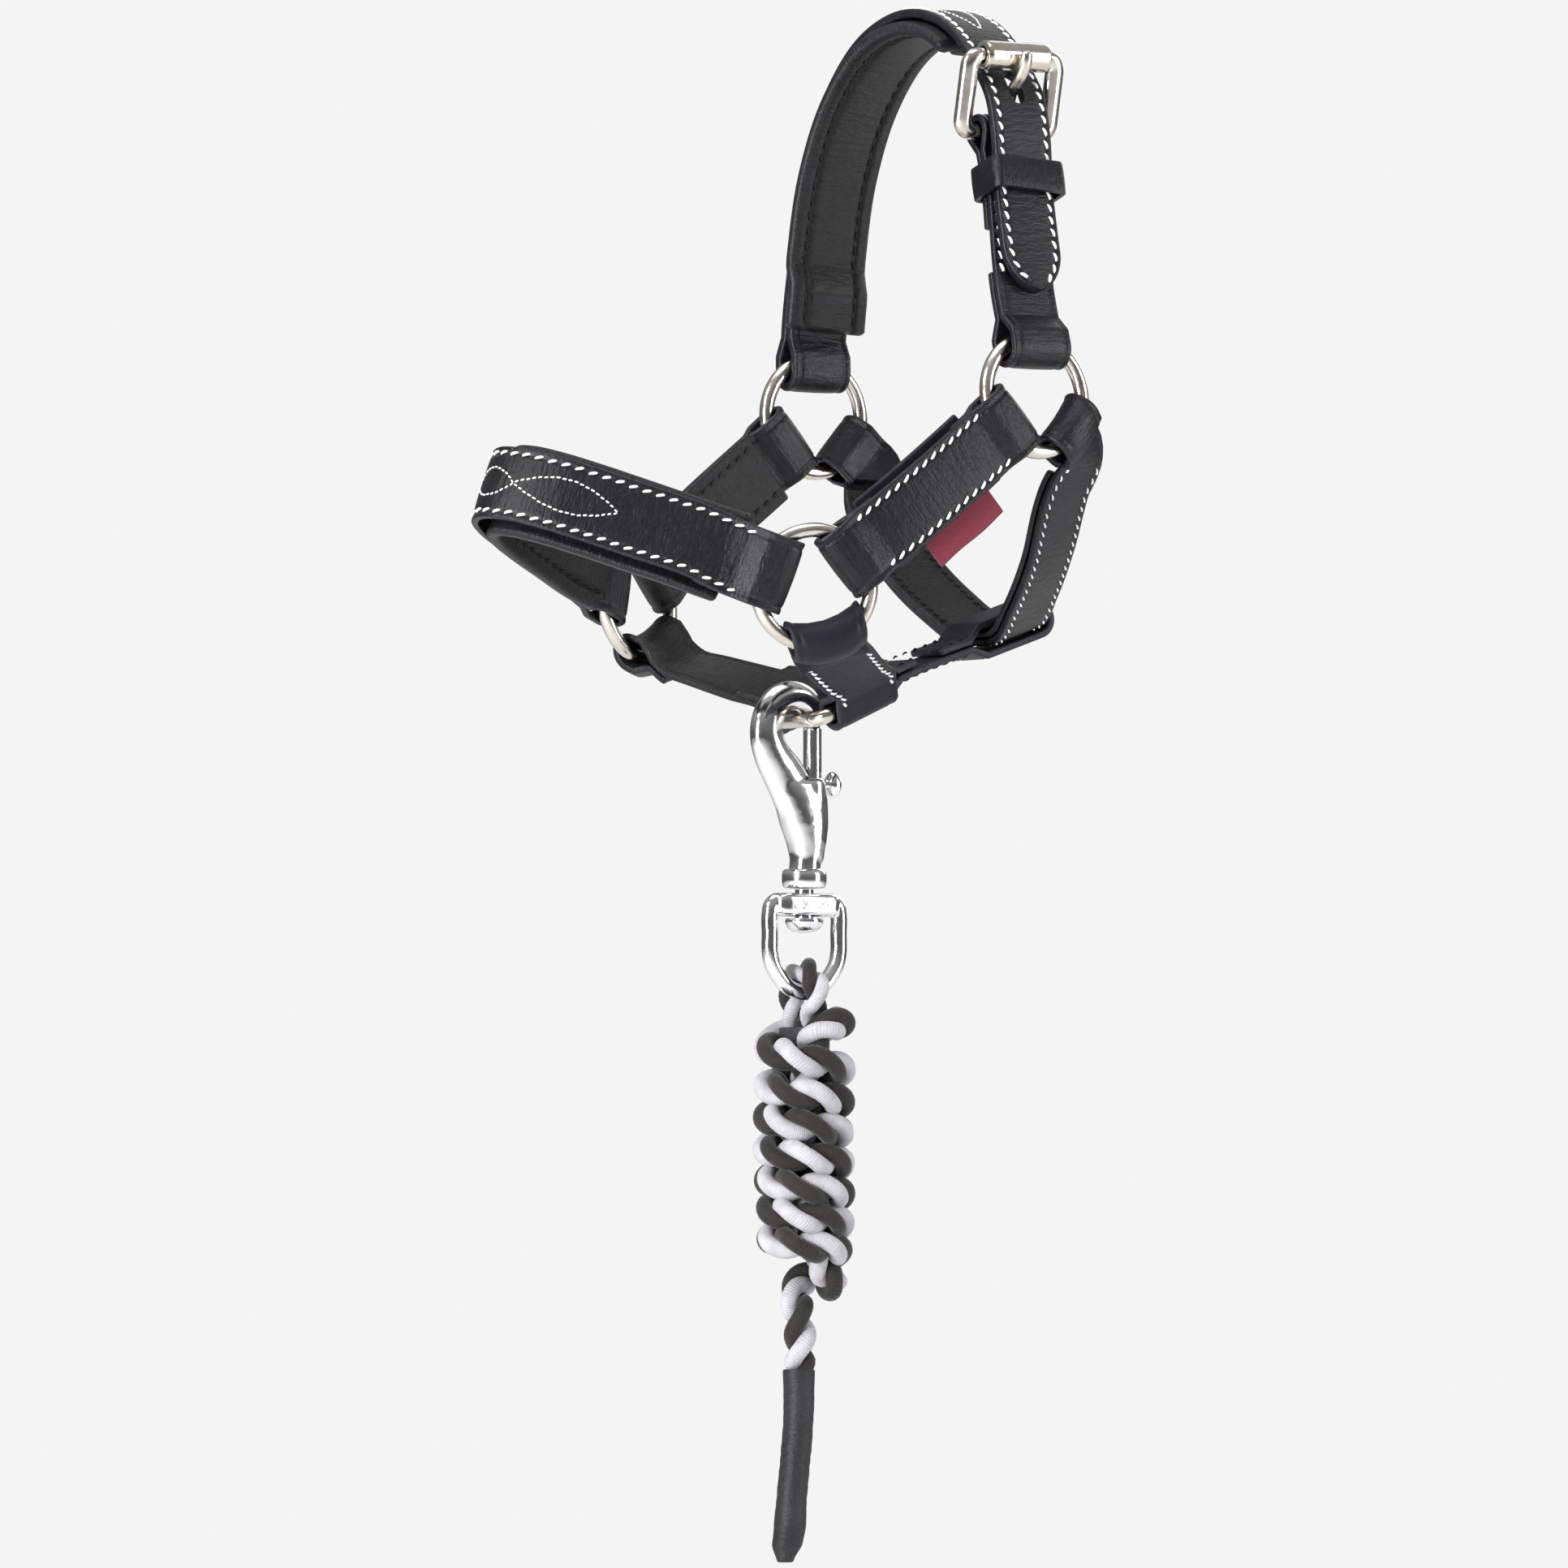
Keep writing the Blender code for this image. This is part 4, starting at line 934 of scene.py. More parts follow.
def build_crown_padding(base):
    m = CROWN_T + SLIT
    thick = PAD_T - 0.7
    lap_off = -(m + 0.5 * CROWN_T + GAP + 0.5 * PAD_T) + 0.15
    run_off = -(0.5 * CROWN_T + GAP + 0.5 * PAD_T) + 0.15
    path = [(17.6, lap_off), (24.5, lap_off), (26.6, lap_off + 0.2), (31.0, run_off - 0.2), (33.0, run_off),
            (122.0, run_off)]
    inner = (4.6, 5.2, 5.6, 6.0, 6.4, 6.8, 7.4)

    def pucker(s, x, y):
        if y > 0:
            return -0.25 * smooth((abs(x) - 7.2) / 1.2)
        gather = 0.10 * math.sin(2 * math.pi * s / 3.1 + 1.3
                                 * math.sin(0.21 * s)) * math.exp(-((abs(x) - 6.0) / 1.6) ** 2)
        return -gather

    item = strap("crown_pad", base, path, PAD_W, thick, LINING_AND_FAR_SHADE, ("crown_padding",), edge=1.3,
                 bottom=channel_puff(PAD_W - 1.4, (6.0,), 0.6, 0.75, 0.6), inner=inner, step=0.8,
                 shape=pucker,
                 end_edge=1.2)
    rows = pair_of_rows(base, 19.0, 120.6, 6.0, 0.0)
    lowered = []
    for row in rows:
        lowered.append([(p - n * pad_depth(base, p, path, thick), -n) for p, n in row])
    stitches("crown_pad_stitching", lowered, BLACK, pitch=3.1, length=2.3, radius=0.2, lift=0.05, knots=False)
    return item


def pad_depth(base, p, path, thick):
    s = float(base.s[int(np.argmin(np.linalg.norm(base.p - p, axis=1)))])
    off = float(np.interp(s, [a for a, b in path], [b for a, b in path]))
    return -off + 0.5 * thick + 0.08


def build_buckle_strap():
    base = buckle_base()
    top = bar_end(HEEL_R, LEATHER, HALF, -HALF, 22.0)
    low = reverse_end(tilted_end(CROWN_W, LEATHER, HALF, -HALF, 14.0, 9.0), base.length)
    at = 0.5 * CROWN_W - 1.5
    item = strap("buckle_leather", base, top + low, CROWN_W, LEATHER, STRAP, ("buckle_strap",),
                 top=groove(at, 0.14, 0.4, 0.1), inner=around(at))
    p, t, n, w = base.at(0.0)
    cut(item, long_hole(p - t * 1.2 + n * 0.6, w, t, n, 1.75, 5.2, 4.6))
    off = HALF + FACE
    rows = pair_of_rows(base, 16.5, base.length - 13.5, at, off)
    stitches("buckle_strap_stitching", rows, WHITE, pitch=2.7)
    return base


def build_keeper(buckle):
    p, t, n, w = buckle.at(11.6)
    inner = -(HALF + FACE) - GAP
    outer = HALF + FACE + GAP + CROWN_T + GAP + 1.9
    half_w = 0.5 * CROWN_W + 0.4
    th = 1.2
    centre = p + n * 0.5 * (inner + outer)
    b = 0.5 * (outer - inner)
    loop = []
    corner = 0.5
    for sx, sn, start in ((1, 1, 0), (-1, 1, 90), (-1, -1, 180), (1, -1, 270)):
        for k in range(7):
            a = math.radians(start + 15.0 * k)
            loop.append((sx * (half_w - corner) + (corner + 0.5 * th) * math.cos(a),
                         sn * (b - corner) + (corner + 0.5 * th) * math.sin(a), math.cos(a), math.sin(a)))
    profile = []
    for k in range(5):
        a = math.radians(-90.0 + 45.0 * k)
        profile.append((0.25 * math.sin(a) + (0.35 if math.sin(a) > 0 else -0.35), 3.2 + 0.3 * math.cos(a)))
    for k in range(5):
        a = math.radians(90.0 + 45.0 * k)
        profile.append((0.25 * math.sin(a) + (0.35 if math.sin(a) > 0 else -0.35), -3.2 + 0.3 * math.cos(a)))
    middle = [(0.68, 1.6), (0.72, 0.0), (0.68, -1.6)]
    profile = profile[:5] + middle + profile[5:]
    sections = []
    us = [0.0]
    for i, (x, y, nx, ny) in enumerate(loop):
        c = centre + w * x + n * y
        o = w * nx + n * ny
        sections.append([c + o * d + t * a for d, a in profile])
        if i:
            us.append(us[-1] + math.dist(loop[i][:2], loop[i - 1][:2]))
    bm = bmesh.new()
    add_skin(bm, sections, us, [a for d, a in profile], [0.5 if abs(a) > 3.2 else 0.0 for d, a in profile],
             True)
    bmesh.ops.recalc_face_normals(bm, faces=bm.faces)
    return finish_piece("keeper_leather", bm, [STRAP], "keeper", ("keeper_loop",))


def build_cheek(side, name):
    base = cheek_base(side)
    low = ring_end(CHEEK_W, LEATHER, HALF, -HALF, 9.0)
    high = reverse_end(ring_end(CHEEK_W, LEATHER, HALF, -HALF, 9.0), base.length)
    at = 0.5 * CHEEK_W - 1.5
    length = base.length

    def sink(s, x, y):
        """The outer face dips a little where the sewn lap ends."""
        dip = 0.0
        for end in (17.3, length - 15.2):
            dip += 0.22 * math.exp(-((s - end) / 1.6) ** 2)
        return -dip if y > 0 else 0.0

    strap("cheek_leather_" + name, base, low + high, CHEEK_W, LEATHER, STRAP, ("cheek_strap_" + name,),
          top=groove(at, 0.16, 0.4, 0.18), inner=around(at), shape=sink)
    off = -(HALF + FACE + GAP + 0.5 * LINING_T) + 0.15
    # The far backing takes the darker lining leather and the near one the paler smooth leather; the far one's
    # darkness is painted shade.
    strap("cheek_backing_" + name, base, [(17.0, off), (length - 17.0, off)], CHEEK_LINING_W, LINING_T,
          SMOOTH if side < 0 else LINING_AND_FAR_SHADE,
          ("cheek_lining_" + name,), edge=0.6, end_edge=0.5,
          bottom=groove(at, 0.1, 0.4), inner=around(at))
    outer = HALF + FACE
    rows = pair_of_rows(base, 14.6, length - 12.2, at, outer)
    stitches("cheek_stitching_" + name, rows, WHITE, pitch=2.65)
    back = off - 0.5 * LINING_T
    rows = turned_over(pair_of_rows(base, 18.5, length - 18.5, at, back))
    stitches("cheek_back_stitching_" + name, rows, BLACK, pitch=2.65, length=1.7, radius=0.26)
    return base


def build_label(base):
    """A plain woven tab, folded over at its outer end, sewn in under the cheek strap."""
    middle = 0.5 * base.length + 1.0
    profile = [(4.6, -1.3), (8.0, -1.3), (12.6, -1.34), (13.25, -1.25), (13.45, -0.95), (13.25, -0.65),
               (12.6, -0.56),
               (8.0, -0.6), (4.6, -0.6)]
    sections = []
    us = []
    for k in range(39):
        d = -9.3 + 18.6 * k / 38
        p, t, n, w = base.at(middle + d)
        down = w if w[2] < 0 else -w
        ripple = 0.10 * math.sin(0.55 * d + 0.6) * 1.0
        sections.append([p + down * (a + (0.12 * math.sin(0.4 * d) if a > 12 else 0.0))
                         + n * (b + ripple * max(0.0, (a - 7.5) / 6.0)) for a, b in profile])
        us.append(d)
    bm = bmesh.new()
    add_skin(bm, sections, us, [a + b for a, b in profile])
    bmesh.ops.recalc_face_normals(bm, faces=bm.faces)
    red = woven("label_cloth", (0.11, 0.002, 0.014), (0.30, 0.009, 0.04))
    finish_piece("label_cloth_tab", bm, [red], "headcollar", ("label_tab",))


def build_noseband():
    base = nose_base()
    low = ring_end(NOSE_W, LEATHER, HALF, -HALF)
    high = reverse_end(ring_end(NOSE_W, LEATHER, HALF, -HALF), base.length)
    at = 0.5 * NOSE_W - 1.5
    length = base.length
    outer = HALF + FACE

    def sink(s, x, y):
        dip = 0.0
        for end in (20.0, length - 20.0):
            dip += 0.30 * math.exp(-((s - end) / 2.2) ** 2)
        return -dip if y > 0 else 0.0

    strap("noseband_leather", base, dense(low + high, 2.0), NOSE_W, LEATHER, STRAP, ("noseband_strap",),
          top=groove(at, 0.18, 0.4, 0.2), inner=around(at), shape=sink)
    rows = pair_of_rows(base, 12.4, length - 12.4, at, outer)
    stitches("noseband_stitching", rows, WHITE, pitch=2.85)
    build_fancy(base, outer, length)
    build_nose_padding(base, length)
    return base


def build_fancy(base, outer, length):
    """Two fine threads that cross twice: a small oval in the middle between two pointed ones."""
    middle = 0.5 * length
    half = 5.5
    reach = 21.3

    def height(d):
        d = abs(d)
        if d < half:
            return 3.0 * math.cos(0.5 * math.pi * d / half) ** 0.85
        if d < half + reach:
            return -3.4 * math.sin(math.pi * (d - half) / reach) ** 0.9
        return 0.0

    rows = []
    for sign in (1.0, -1.0):
        rows.append(row_on(base, middle - half - reach, middle + half + reach, 0.0, outer + 0.12, step=0.4,
                           wander=lambda s, k=sign: k * height(s - middle)))
    stitches("noseband_fancy_stitching", rows, WHITE, pitch=1.25, length=1.05, radius=0.19, slant=0.05,
             lift=0.06,
             knots=False)


def build_nose_padding(base, length):
    thick = NOSE_PAD_T - 0.5
    off = -(HALF + FACE + GAP + 0.3 + 0.5 * NOSE_PAD_T) + 0.2
    path = [(17.5, off - 0.6), (23.5, off - 0.2), (29.5, off), (length - 29.5, off),
            (length - 23.5, off - 0.2),
            (length - 17.5, off - 0.6)]
    inner = (5.0, 5.6, 6.0, 6.4, 7.0, 7.8)

    def pucker(s, x, y):
        if y > 0:
            return 0.30 * smooth((abs(x) - 7.4) / 1.0)
        return -0.10 * math.sin(2 * math.pi * s / 2.9
                                + math.sin(0.17 * s)) * math.exp(-((abs(x) - 6.0) / 1.6) ** 2)

    item = strap("noseband_pad", base, path, NOSE_PAD_W, thick, LINING_AND_FAR_SHADE, ("noseband_padding",), edge=1.15,
                 bottom=channel_puff(NOSE_PAD_W - 1.0, (6.0,), 0.5, 0.5, 0.55), inner=inner, step=0.8,
                 shape=pucker,
                 end_edge=1.0)
    rows = []
    for sign in (1.0, -1.0):
        row = row_on(base, 19.0, length - 19.0, sign * 6.0, 0.0)
        rows.append([(p - n * pad_depth(base, p, path, thick), -n) for p, n in row])
    stitches("noseband_pad_stitching", rows, BLACK, pitch=3.0, length=2.2, radius=0.2, lift=0.05, knots=False)


def build_chin(side, name):
    base = chin_base(side)
    top = tilted_end(CHIN_W, LEATHER, -HALF, HALF, 8.0, CHIN_LEAVE)
    low = reverse_end(bar_end(WIRE, LEATHER, HALF, -HALF, 11.0, 0.3), base.length)
    bow = ring_bow(CHIN_LEAVE, 0.0)
    at = 0.5 * CHIN_W - 1.5
    # The far chin strap takes the darker lining leather instead of the near one's smooth leather; this is
    # painted shade on the far side.
    skin = SMOOTH if side < 0 else LINING_AND_FAR_SHADE
    strap("chin_leather_" + name, base, top + low, CHIN_W, LEATHER, skin, ("chin_strap_" + name,), bow=bow,
          top=groove(at, 0.14, 0.4), bottom=groove(at, 0.14, 0.4), inner=around(at))
    rows = []
    for sign in (1.0, -1.0):
        row = row_on(base, 9.4, base.length - 3.6, sign * at, 0.0, bow)
        count = len(row) - 1.0
        rows.append([(p + n * chin_rise(base, 9.4 + (base.length - 13.0) * i / count), n)
                     for i, (p, n) in enumerate(row)])
    stitches("chin_stitching_" + name, rows, WHITE, pitch=2.3, length=1.7, radius=0.28)
    return base


def chin_rise(base, s):
    """Height of a chin strap's outer face, which runs from under its top lap to over its bottom one."""
    part = min(max((s - 4.3) / (base.length - 8.6), 0.0), 1.0)
    return -HALF + 2 * HALF * part + FACE


def build_throat():
    base = throat_base()
    low = tilted_end(THROAT_W, LEATHER, HALF, -HALF, 9.0, THROAT_LEAVE)
    high = reverse_end(tilted_end(THROAT_W, LEATHER, HALF, -HALF, 9.0, THROAT_LEAVE), base.length)
    bow = ring_bow(THROAT_LEAVE, base.length)
    at = 0.5 * THROAT_W - 1.4
    strap("throat_leather", base, dense(low + high, 2.0), THROAT_W, LEATHER, STRAP, ("throat_strap",),
          bow=bow,
          top=groove(at, 0.13, 0.4, 0.1), inner=around(at))
    off = HALF - FACE - GAP - 0.1 - 0.5 * LINING_T + 0.1
    strap("throat_backing", base, [(11.5, off), (base.length - 11.5, off)], THROAT_W + 0.6, LINING_T, LINING_AND_FAR_SHADE,
          ("throat_lining",), edge=0.5, end_edge=0.5, bottom=groove(at, 0.1, 0.4),
          inner=around(at))
    rows = pair_of_rows(base, 8.5, base.length - 8.5, at, HALF + FACE, bow)
    stitches("throat_stitching", rows, WHITE, pitch=2.2, length=1.5, radius=0.24)
    back = off - 0.5 * LINING_T
    rows = turned_over(pair_of_rows(base, 13.0, base.length - 13.0, at, back, bow))
    stitches("throat_back_stitching", rows, BLACK, pitch=2.2, length=1.5, radius=0.22)
    return base


def build_jaw(throat):
    p, t, n, w = throat.at(0.5 * throat.length)
    centre = p + n * (HALF - 0.5 * (GAP + LINING_T))
    rear, up = chin_axes()
    bar = vec(CHIN_RING) + rear * CHIN_HALF
    along = w if w[0] < 0 else -w
    front_edge = centre + along * (0.5 * THROAT_W + 0.3)
    back_edge = centre - along * (0.5 * THROAT_W + 0.3)
    knots = [back_edge, front_edge, front_edge + along * 5.0, bar + rear * 6.0, bar]
    down = unit((0.33, 0.0, -0.94))
    base = Base(knots, [down, down, down, unit((0.38, 0.0, -0.92)), unit((0.40, 0.0, -0.91))])
    q = 0.5 * (LEATHER + GAP + LINING_T) + GAP + 0.6 + 0.5 * LEATHER
    wide = THROAT_W + 0.6
    start = [(wide + 12.0, -HALF), (wide + 4.6, -HALF), (wide + 1.2, -q)]
    for k in range(17):
        a = math.pi * k / 16
        start.append((-q * math.sin(a), -q * math.cos(a)))
    start = start + [(wide + 1.2, q), (wide + 4.6, HALF)]
    low = reverse_end(bar_end(WIRE, LEATHER, HALF, -HALF, 9.0), base.length)
    at = 0.5 * JAW_W - 1.3
    strap("jaw_leather", base, start + low, JAW_W, LEATHER, SMOOTH, ("jaw_strap",), top=groove(at, 0.13, 0.4),
          bottom=groove(at, 0.13, 0.4), inner=around(at))
    rows = []
    for sign in (1.0, -1.0):
        rows.append(row_on(base, wide + 5.4, base.length - 5.0, sign * at, HALF + FACE))
        rows.append([(a, -b) for a,
                     b in row_on(base, wide + 5.4, base.length - 5.0, sign * at, -HALF - FACE)])
    stitches("jaw_stitching", rows, BLACK, pitch=2.5, length=1.7, radius=0.26)
    return base


# Metal parts

def torus(name, centre, normal, body, node):
    normal = unit(normal)
    a = unit(np.cross(normal, (0.31, 0.17, 0.94)))
    b = np.cross(normal, a)
    pts = [vec(centre) + (a * math.cos(u) + b * math.sin(u)) * RING_R
           for u in [2 * math.pi * k / 120 for k in range(120)]]
    tube(name, pts, WIRE, NICKEL, (node,), body, side=tuple(normal), closed=True, count=28)


def rounded_loop(centre, a, b, half_a, half_b, corner, steps):
    pts = []
    for sa, sb, start in ((1, 1, 0), (-1, 1, 90), (-1, -1, 180), (1, -1, 270)):
        for k in range(steps + 1):
            u = math.radians(start + 90.0 * k / steps)
            pts.append(vec(centre) + a * (sa * (half_a - corner) + corner * math.cos(u))
                       + b * (sb * (half_b - corner) + corner * math.sin(u)))
    return pts


def resample_loop(pts, step):
    whole = [tuple(p) for p in pts] + [tuple(pts[0])]
    return resample(whole, step)[:-1]


def build_rings():
    for side, name in ((-1, "near"), (1, "far")):
        torus("upper_ring_metal_" + name, mirror(UPPER, side), upper_ring_normal(side), "upper_" + name,
              "upper_ring_" + name)
        torus("lower_ring_metal_" + name, mirror(LOWER, side), lower_ring_plane(side)[2], "lower_" + name,
              "lower_ring_" + name)
    rear, up = chin_axes()
    pts = rounded_loop(CHIN_RING, rear, vec((0.0, 1.0, 0.0)), CHIN_HALF, CHIN_HALF, 3.0, 10)
    tube("chin_ring_metal", resample_loop(pts, 0.6), WIRE, NICKEL, ("chin_ring",), "headcollar",
         side=tuple(up),
         closed=True, count=24)


def buckle_axes():
    down = unit(vec(HEEL_C) - vec(ROLLER_C))
    return down, vec((1.0, 0.0, 0.0))


def build_buckle():
    """Frame, roller and tongue."""
    down, side = buckle_axes()
    centre = 0.5 * (vec(HEEL_C) + vec(ROLLER_C))
    half = 0.5 * float(np.linalg.norm(vec(HEEL_C) - vec(ROLLER_C)))
    pts = resample_loop(rounded_loop(centre, side, down, FRAME_HALF, half, 2.6, 10), 0.45)
    radii = []
    for p in pts:
        across = abs(float(np.dot(vec(p) - centre, side)))
        low = float(np.dot(vec(p) - centre, down)) > 0
        bar = HEEL_R - 0.1 if low else ROLLER_BAR_R
        k = smooth((across - (FRAME_HALF - 2.4)) / 1.8)
        radii.append((bar + (2.05 - bar) * k, bar + (1.62 - bar) * k))
    normal = np.cross(side, down)
    tube("buckle_frame_metal", pts, radii, NICKEL, ("buckle_frame",), "headcollar", side=tuple(normal),
         closed=True,
         count=28)
    h = 0.5 * ROLLER_LEN
    profile = [(-h, ROLLER_BAR_R + GAP), (-h, ROLLER_R - 0.45), (-h + 0.12, ROLLER_R - 0.15),
               (-h + 0.45, ROLLER_R),
               (-h + 1.2, ROLLER_R), (0.0, ROLLER_R - 0.02), (h - 1.2, ROLLER_R), (h - 0.45, ROLLER_R),
               (h - 0.12, ROLLER_R - 0.15), (h, ROLLER_R - 0.45), (h, ROLLER_BAR_R + GAP)]
    turned("buckle_roller_metal", ROLLER_C, side, profile, NICKEL, ("buckle_roller",), "roller")
    build_tongue(down, side)


def turned(name, centre, axis, profile, mat, nodes, body, count=48, angle=35.0):
    """A turned hollow piece: its profile goes once round, outside and inside."""
    axis = unit(axis)
    a = unit(np.cross(axis, (0.2, 0.3, 0.9)))
    b = np.cross(axis, a)
    sections = []
    for k in range(count):
        u = 2 * math.pi * k / count
        out = a * math.cos(u) + b * math.sin(u)
        sections.append([vec(centre) + axis * x + out * r for x, r in profile])
    bm = bmesh.new()
    add_skin(bm, sections, [0.4 * k for k in range(count)], [x + r for x, r in profile], None, True)
    bmesh.ops.recalc_face_normals(bm, faces=bm.faces)
    return finish_piece(name, bm, [mat], body, nodes, angle)


def build_tongue(down, side):
    heel = vec(HEEL_C)
    roller = vec(ROLLER_C)
    out = unit(vec((0.0, -1.0, 0.0)) - down * float(np.dot((0.0, -1.0, 0.0), down)))
    inner = HEEL_R + GAP
    pts = [heel - down * 2.5 + out * 0.5, heel - down * 5.0 + out * 0.5, heel - down * 8.4 + out * 0.8,
           heel - down * 10.6 + out * 2.3, roller + down * 3.0 + out * 3.9, roller + down * 0.8 + out * 4.75,
           roller - down * 1.8 + out * 4.6]
    line = spline(pts, 8)
    count = len(line)
    radii = []
    for i in range(count):
        left = (count - 1 - i) / (count - 1.0)
        k = math.sqrt(max(0.02, 1.0 - max(0.0, 1.0 - left / 0.06) ** 2))
        radii.append((1.1 * k, 1.3 * k))
    bm = bmesh.new()
    add_skin(bm, tube_rings(line, radii, tuple(side), 20), chord_lengths(line), [0.4 * j for j in range(20)])
    ring = [(-1.3, inner), (-1.3, inner + 0.7), (-1.0, inner + 1.0), (1.0, inner + 1.0),
            (1.3, inner + 0.7), (1.3, inner)]
    a = unit(np.cross(side, down))
    sections = []
    for k in range(40):
        u = 2 * math.pi * k / 40
        sections.append([heel + side * x + (down * math.cos(u) + a * math.sin(u)) * r for x, r in ring])
    add_skin(bm, sections, [0.4 * k for k in range(40)], [0.5 * k for k in range(len(ring))], None, True)
    bmesh.ops.recalc_face_normals(bm, faces=bm.faces)
    finish_piece("buckle_tongue_metal", bm, [NICKEL], "tongue", ("buckle_tongue",), 35.0)


def lathe_sections(x, y, profile, count=40):
    sections = []
    for r, z in profile:
        turns = [2 * math.pi * j / count for j in range(count)]
        sections.append([(x + r * math.cos(a), y + r * math.sin(a), z) for a in turns])
    return sections


def cast_blend(name, shells, size, passes, mat, nodes, body, cutters=()):
    """Several closed shells run together as one casting with soft inner corners."""
    bm = bmesh.new()
    for sections, closed in shells:
        plain_skin(bm, sections, closed)
    bmesh.ops.recalc_face_normals(bm, faces=bm.faces)
    item = finish_piece(name, bm, [mat], body, nodes)
    mod = item.modifiers.new("weld", "REMESH")
    mod.mode = "VOXEL"
    mod.voxel_size = size * MM
    mod.use_smooth_shade = True
    soft = item.modifiers.new("soften", "SMOOTH")
    soft.factor = 0.5
    soft.iterations = passes
    apply_modifiers(item)
    for cutter in cutters:
        cut(item, cutter)
    item.data.shade_smooth()
    item.data.set_sharp_from_angle(angle=math.radians(32.0))
    return item


def build_snap():
    x = SNAP_X
    line = [(0.0, -182.4), (0.0, -181.4), (0.0, -179.6), (0.1, -178.6), (0.2, -177.2), (0.3, -174.5),
            (0.0, -171.0), (-0.9, -167.0), (-2.6, -163.0), (-5.2, -158.8), (-7.9, -154.8), (-9.2, -150.8),
            (-8.6, -147.0), (-6.4, -144.1), (-3.2, -142.9), (-0.2, -143.5), (1.7, -145.4), (2.1, -148.4)]
    radii = [(3.2, 3.2), (3.3, 3.3), (3.3, 3.3), (3.2, 3.3), (3.15, 3.3), (3.3, 3.35),
             (4.0, 3.5), (4.7, 3.4), (5.0, 3.2), (4.7, 3.0), (4.1, 2.9), (3.7, 2.8),
             (3.5, 2.7), (3.3, 2.6), (3.1, 2.6), (2.9, 2.5), (2.7, 2.5), (2.45, 2.45)]
    base_pts = [(x + dx, 0.0, z) for dx, z in line]
    fine = [tuple(p) for p in spline(base_pts, 5)]
    at = chord_lengths(base_pts)
    pos = chord_lengths(fine)
    scale = at[-1] / pos[-1]
    ra = np.interp(np.array(pos) * scale, at, [a for a, b in radii])
    rb = np.interp(np.array(pos) * scale, at, [b for a, b in radii])
    body = tube_rings(fine, list(zip(ra, rb)), (0.0, 1.0, 0.0), 36)
    bx = x + BOLT_DX
    housing = lathe_sections(bx - 0.9, 0.0,
                             [(2.9, -177.2), (3.15, -176.0), (3.6, -172.0), (3.8, -164.0), (3.65, -160.8),
                              (3.3, -160.0),
                                             (2.9, -159.8)])
    filler = []
    for z, cx, a, b in ((-178.0, 0.0, 2.6, 2.9), (-176.0, 0.5, 3.2, 3.3), (-173.0, 0.5, 4.0, 3.7),
                        (-169.5, 0.0, 5.0, 3.95), (-166.5, -0.5, 5.5, 3.95), (-163.5, -1.1, 6.0, 3.8),
                        (-161.3, -1.6, 6.2, 3.5), (-160.1, -1.9, 5.8, 3.0), (-159.6, -2.0, 5.0, 2.2)):
        ring = []
        for j in range(48):
            u = 2 * math.pi * j / 48
            c, d = math.cos(u), math.sin(u)
            ring.append((x + cx + a * math.copysign(abs(c) ** 0.8, c), b * math.copysign(abs(d) ** 0.8, d),
                         z))
        filler.append(ring)
    bore = cutter_from(lathe_sections(bx, 0.0, [(2.2, BORE_BOTTOM), (2.2, -150.2)]))
    slot = long_slot(bx + 3.0, -163.3)
    cast_blend("snap_casting", [(body, False), (housing, False), (filler, False)], 0.23, 26, CHROME,
               ("snap_body",), "snap",
               (bore, slot))
    collar = [(3.2, -178.4), (4.0, -178.5), (4.45, -178.9), (4.6, -179.7), (4.6, -180.9), (4.45, -181.8),
              (4.1, -182.3), (2.4, -182.4)]
    bm = bmesh.new()
    add_skin(bm, lathe_sections(x, 0.0, collar, 48), [float(i) for i in range(len(collar))],
             [0.6 * j for j in range(48)])
    bmesh.ops.recalc_face_normals(bm, faces=bm.faces)
    finish_piece("snap_collar", bm, [CHROME], "snap", (), 50.0)


def long_slot(x, z):
    """Cutter for the thumb stud's slot, with rounded ends."""
    ring = []
    for k in range(20):
        a = 2 * math.pi * k / 20
        ring.append((1.25 * math.cos(a), 1.25 * math.sin(a) + (5.05 if math.sin(a) >= 0 else -5.05)))
    return cutter_from([[(x + dx, a, z + b) for a, b in ring] for dx in (-3.0, 3.0)])


def build_bolt():
    bx = SNAP_X + BOLT_DX
    pin = lathe_sections(bx, 0.0, [(BOLT_R - 0.2, BOLT_BOTTOM), (BOLT_R, BOLT_BOTTOM + 0.2),
                                   (BOLT_R, BOLT_TOP - 0.7),
                                   (BOLT_R - 0.2, BOLT_TOP - 0.2), (BOLT_R - 0.6, BOLT_TOP)])
    z = -161.0
    stud = [(0.8, 0.85), (3.0, 0.9), (3.5, 1.2), (3.9, 2.1), (4.4, 2.6), (5.0, 2.75), (5.7, 2.5),
            (6.2, 1.8), (6.5, 0.8)]
    rings = tube_rings([(bx + dx, 0.0, z) for dx, r in stud],
                       [(r, min(r, 0.75 + 0.42 * r)) for dx, r in stud],
                       (0.0, 1.0, 0.0), 32)
    cast_blend("bolt_casting", [(pin, False), (rings, False)], 0.16, 6, CHROME, ("snap_bolt",), "bolt")


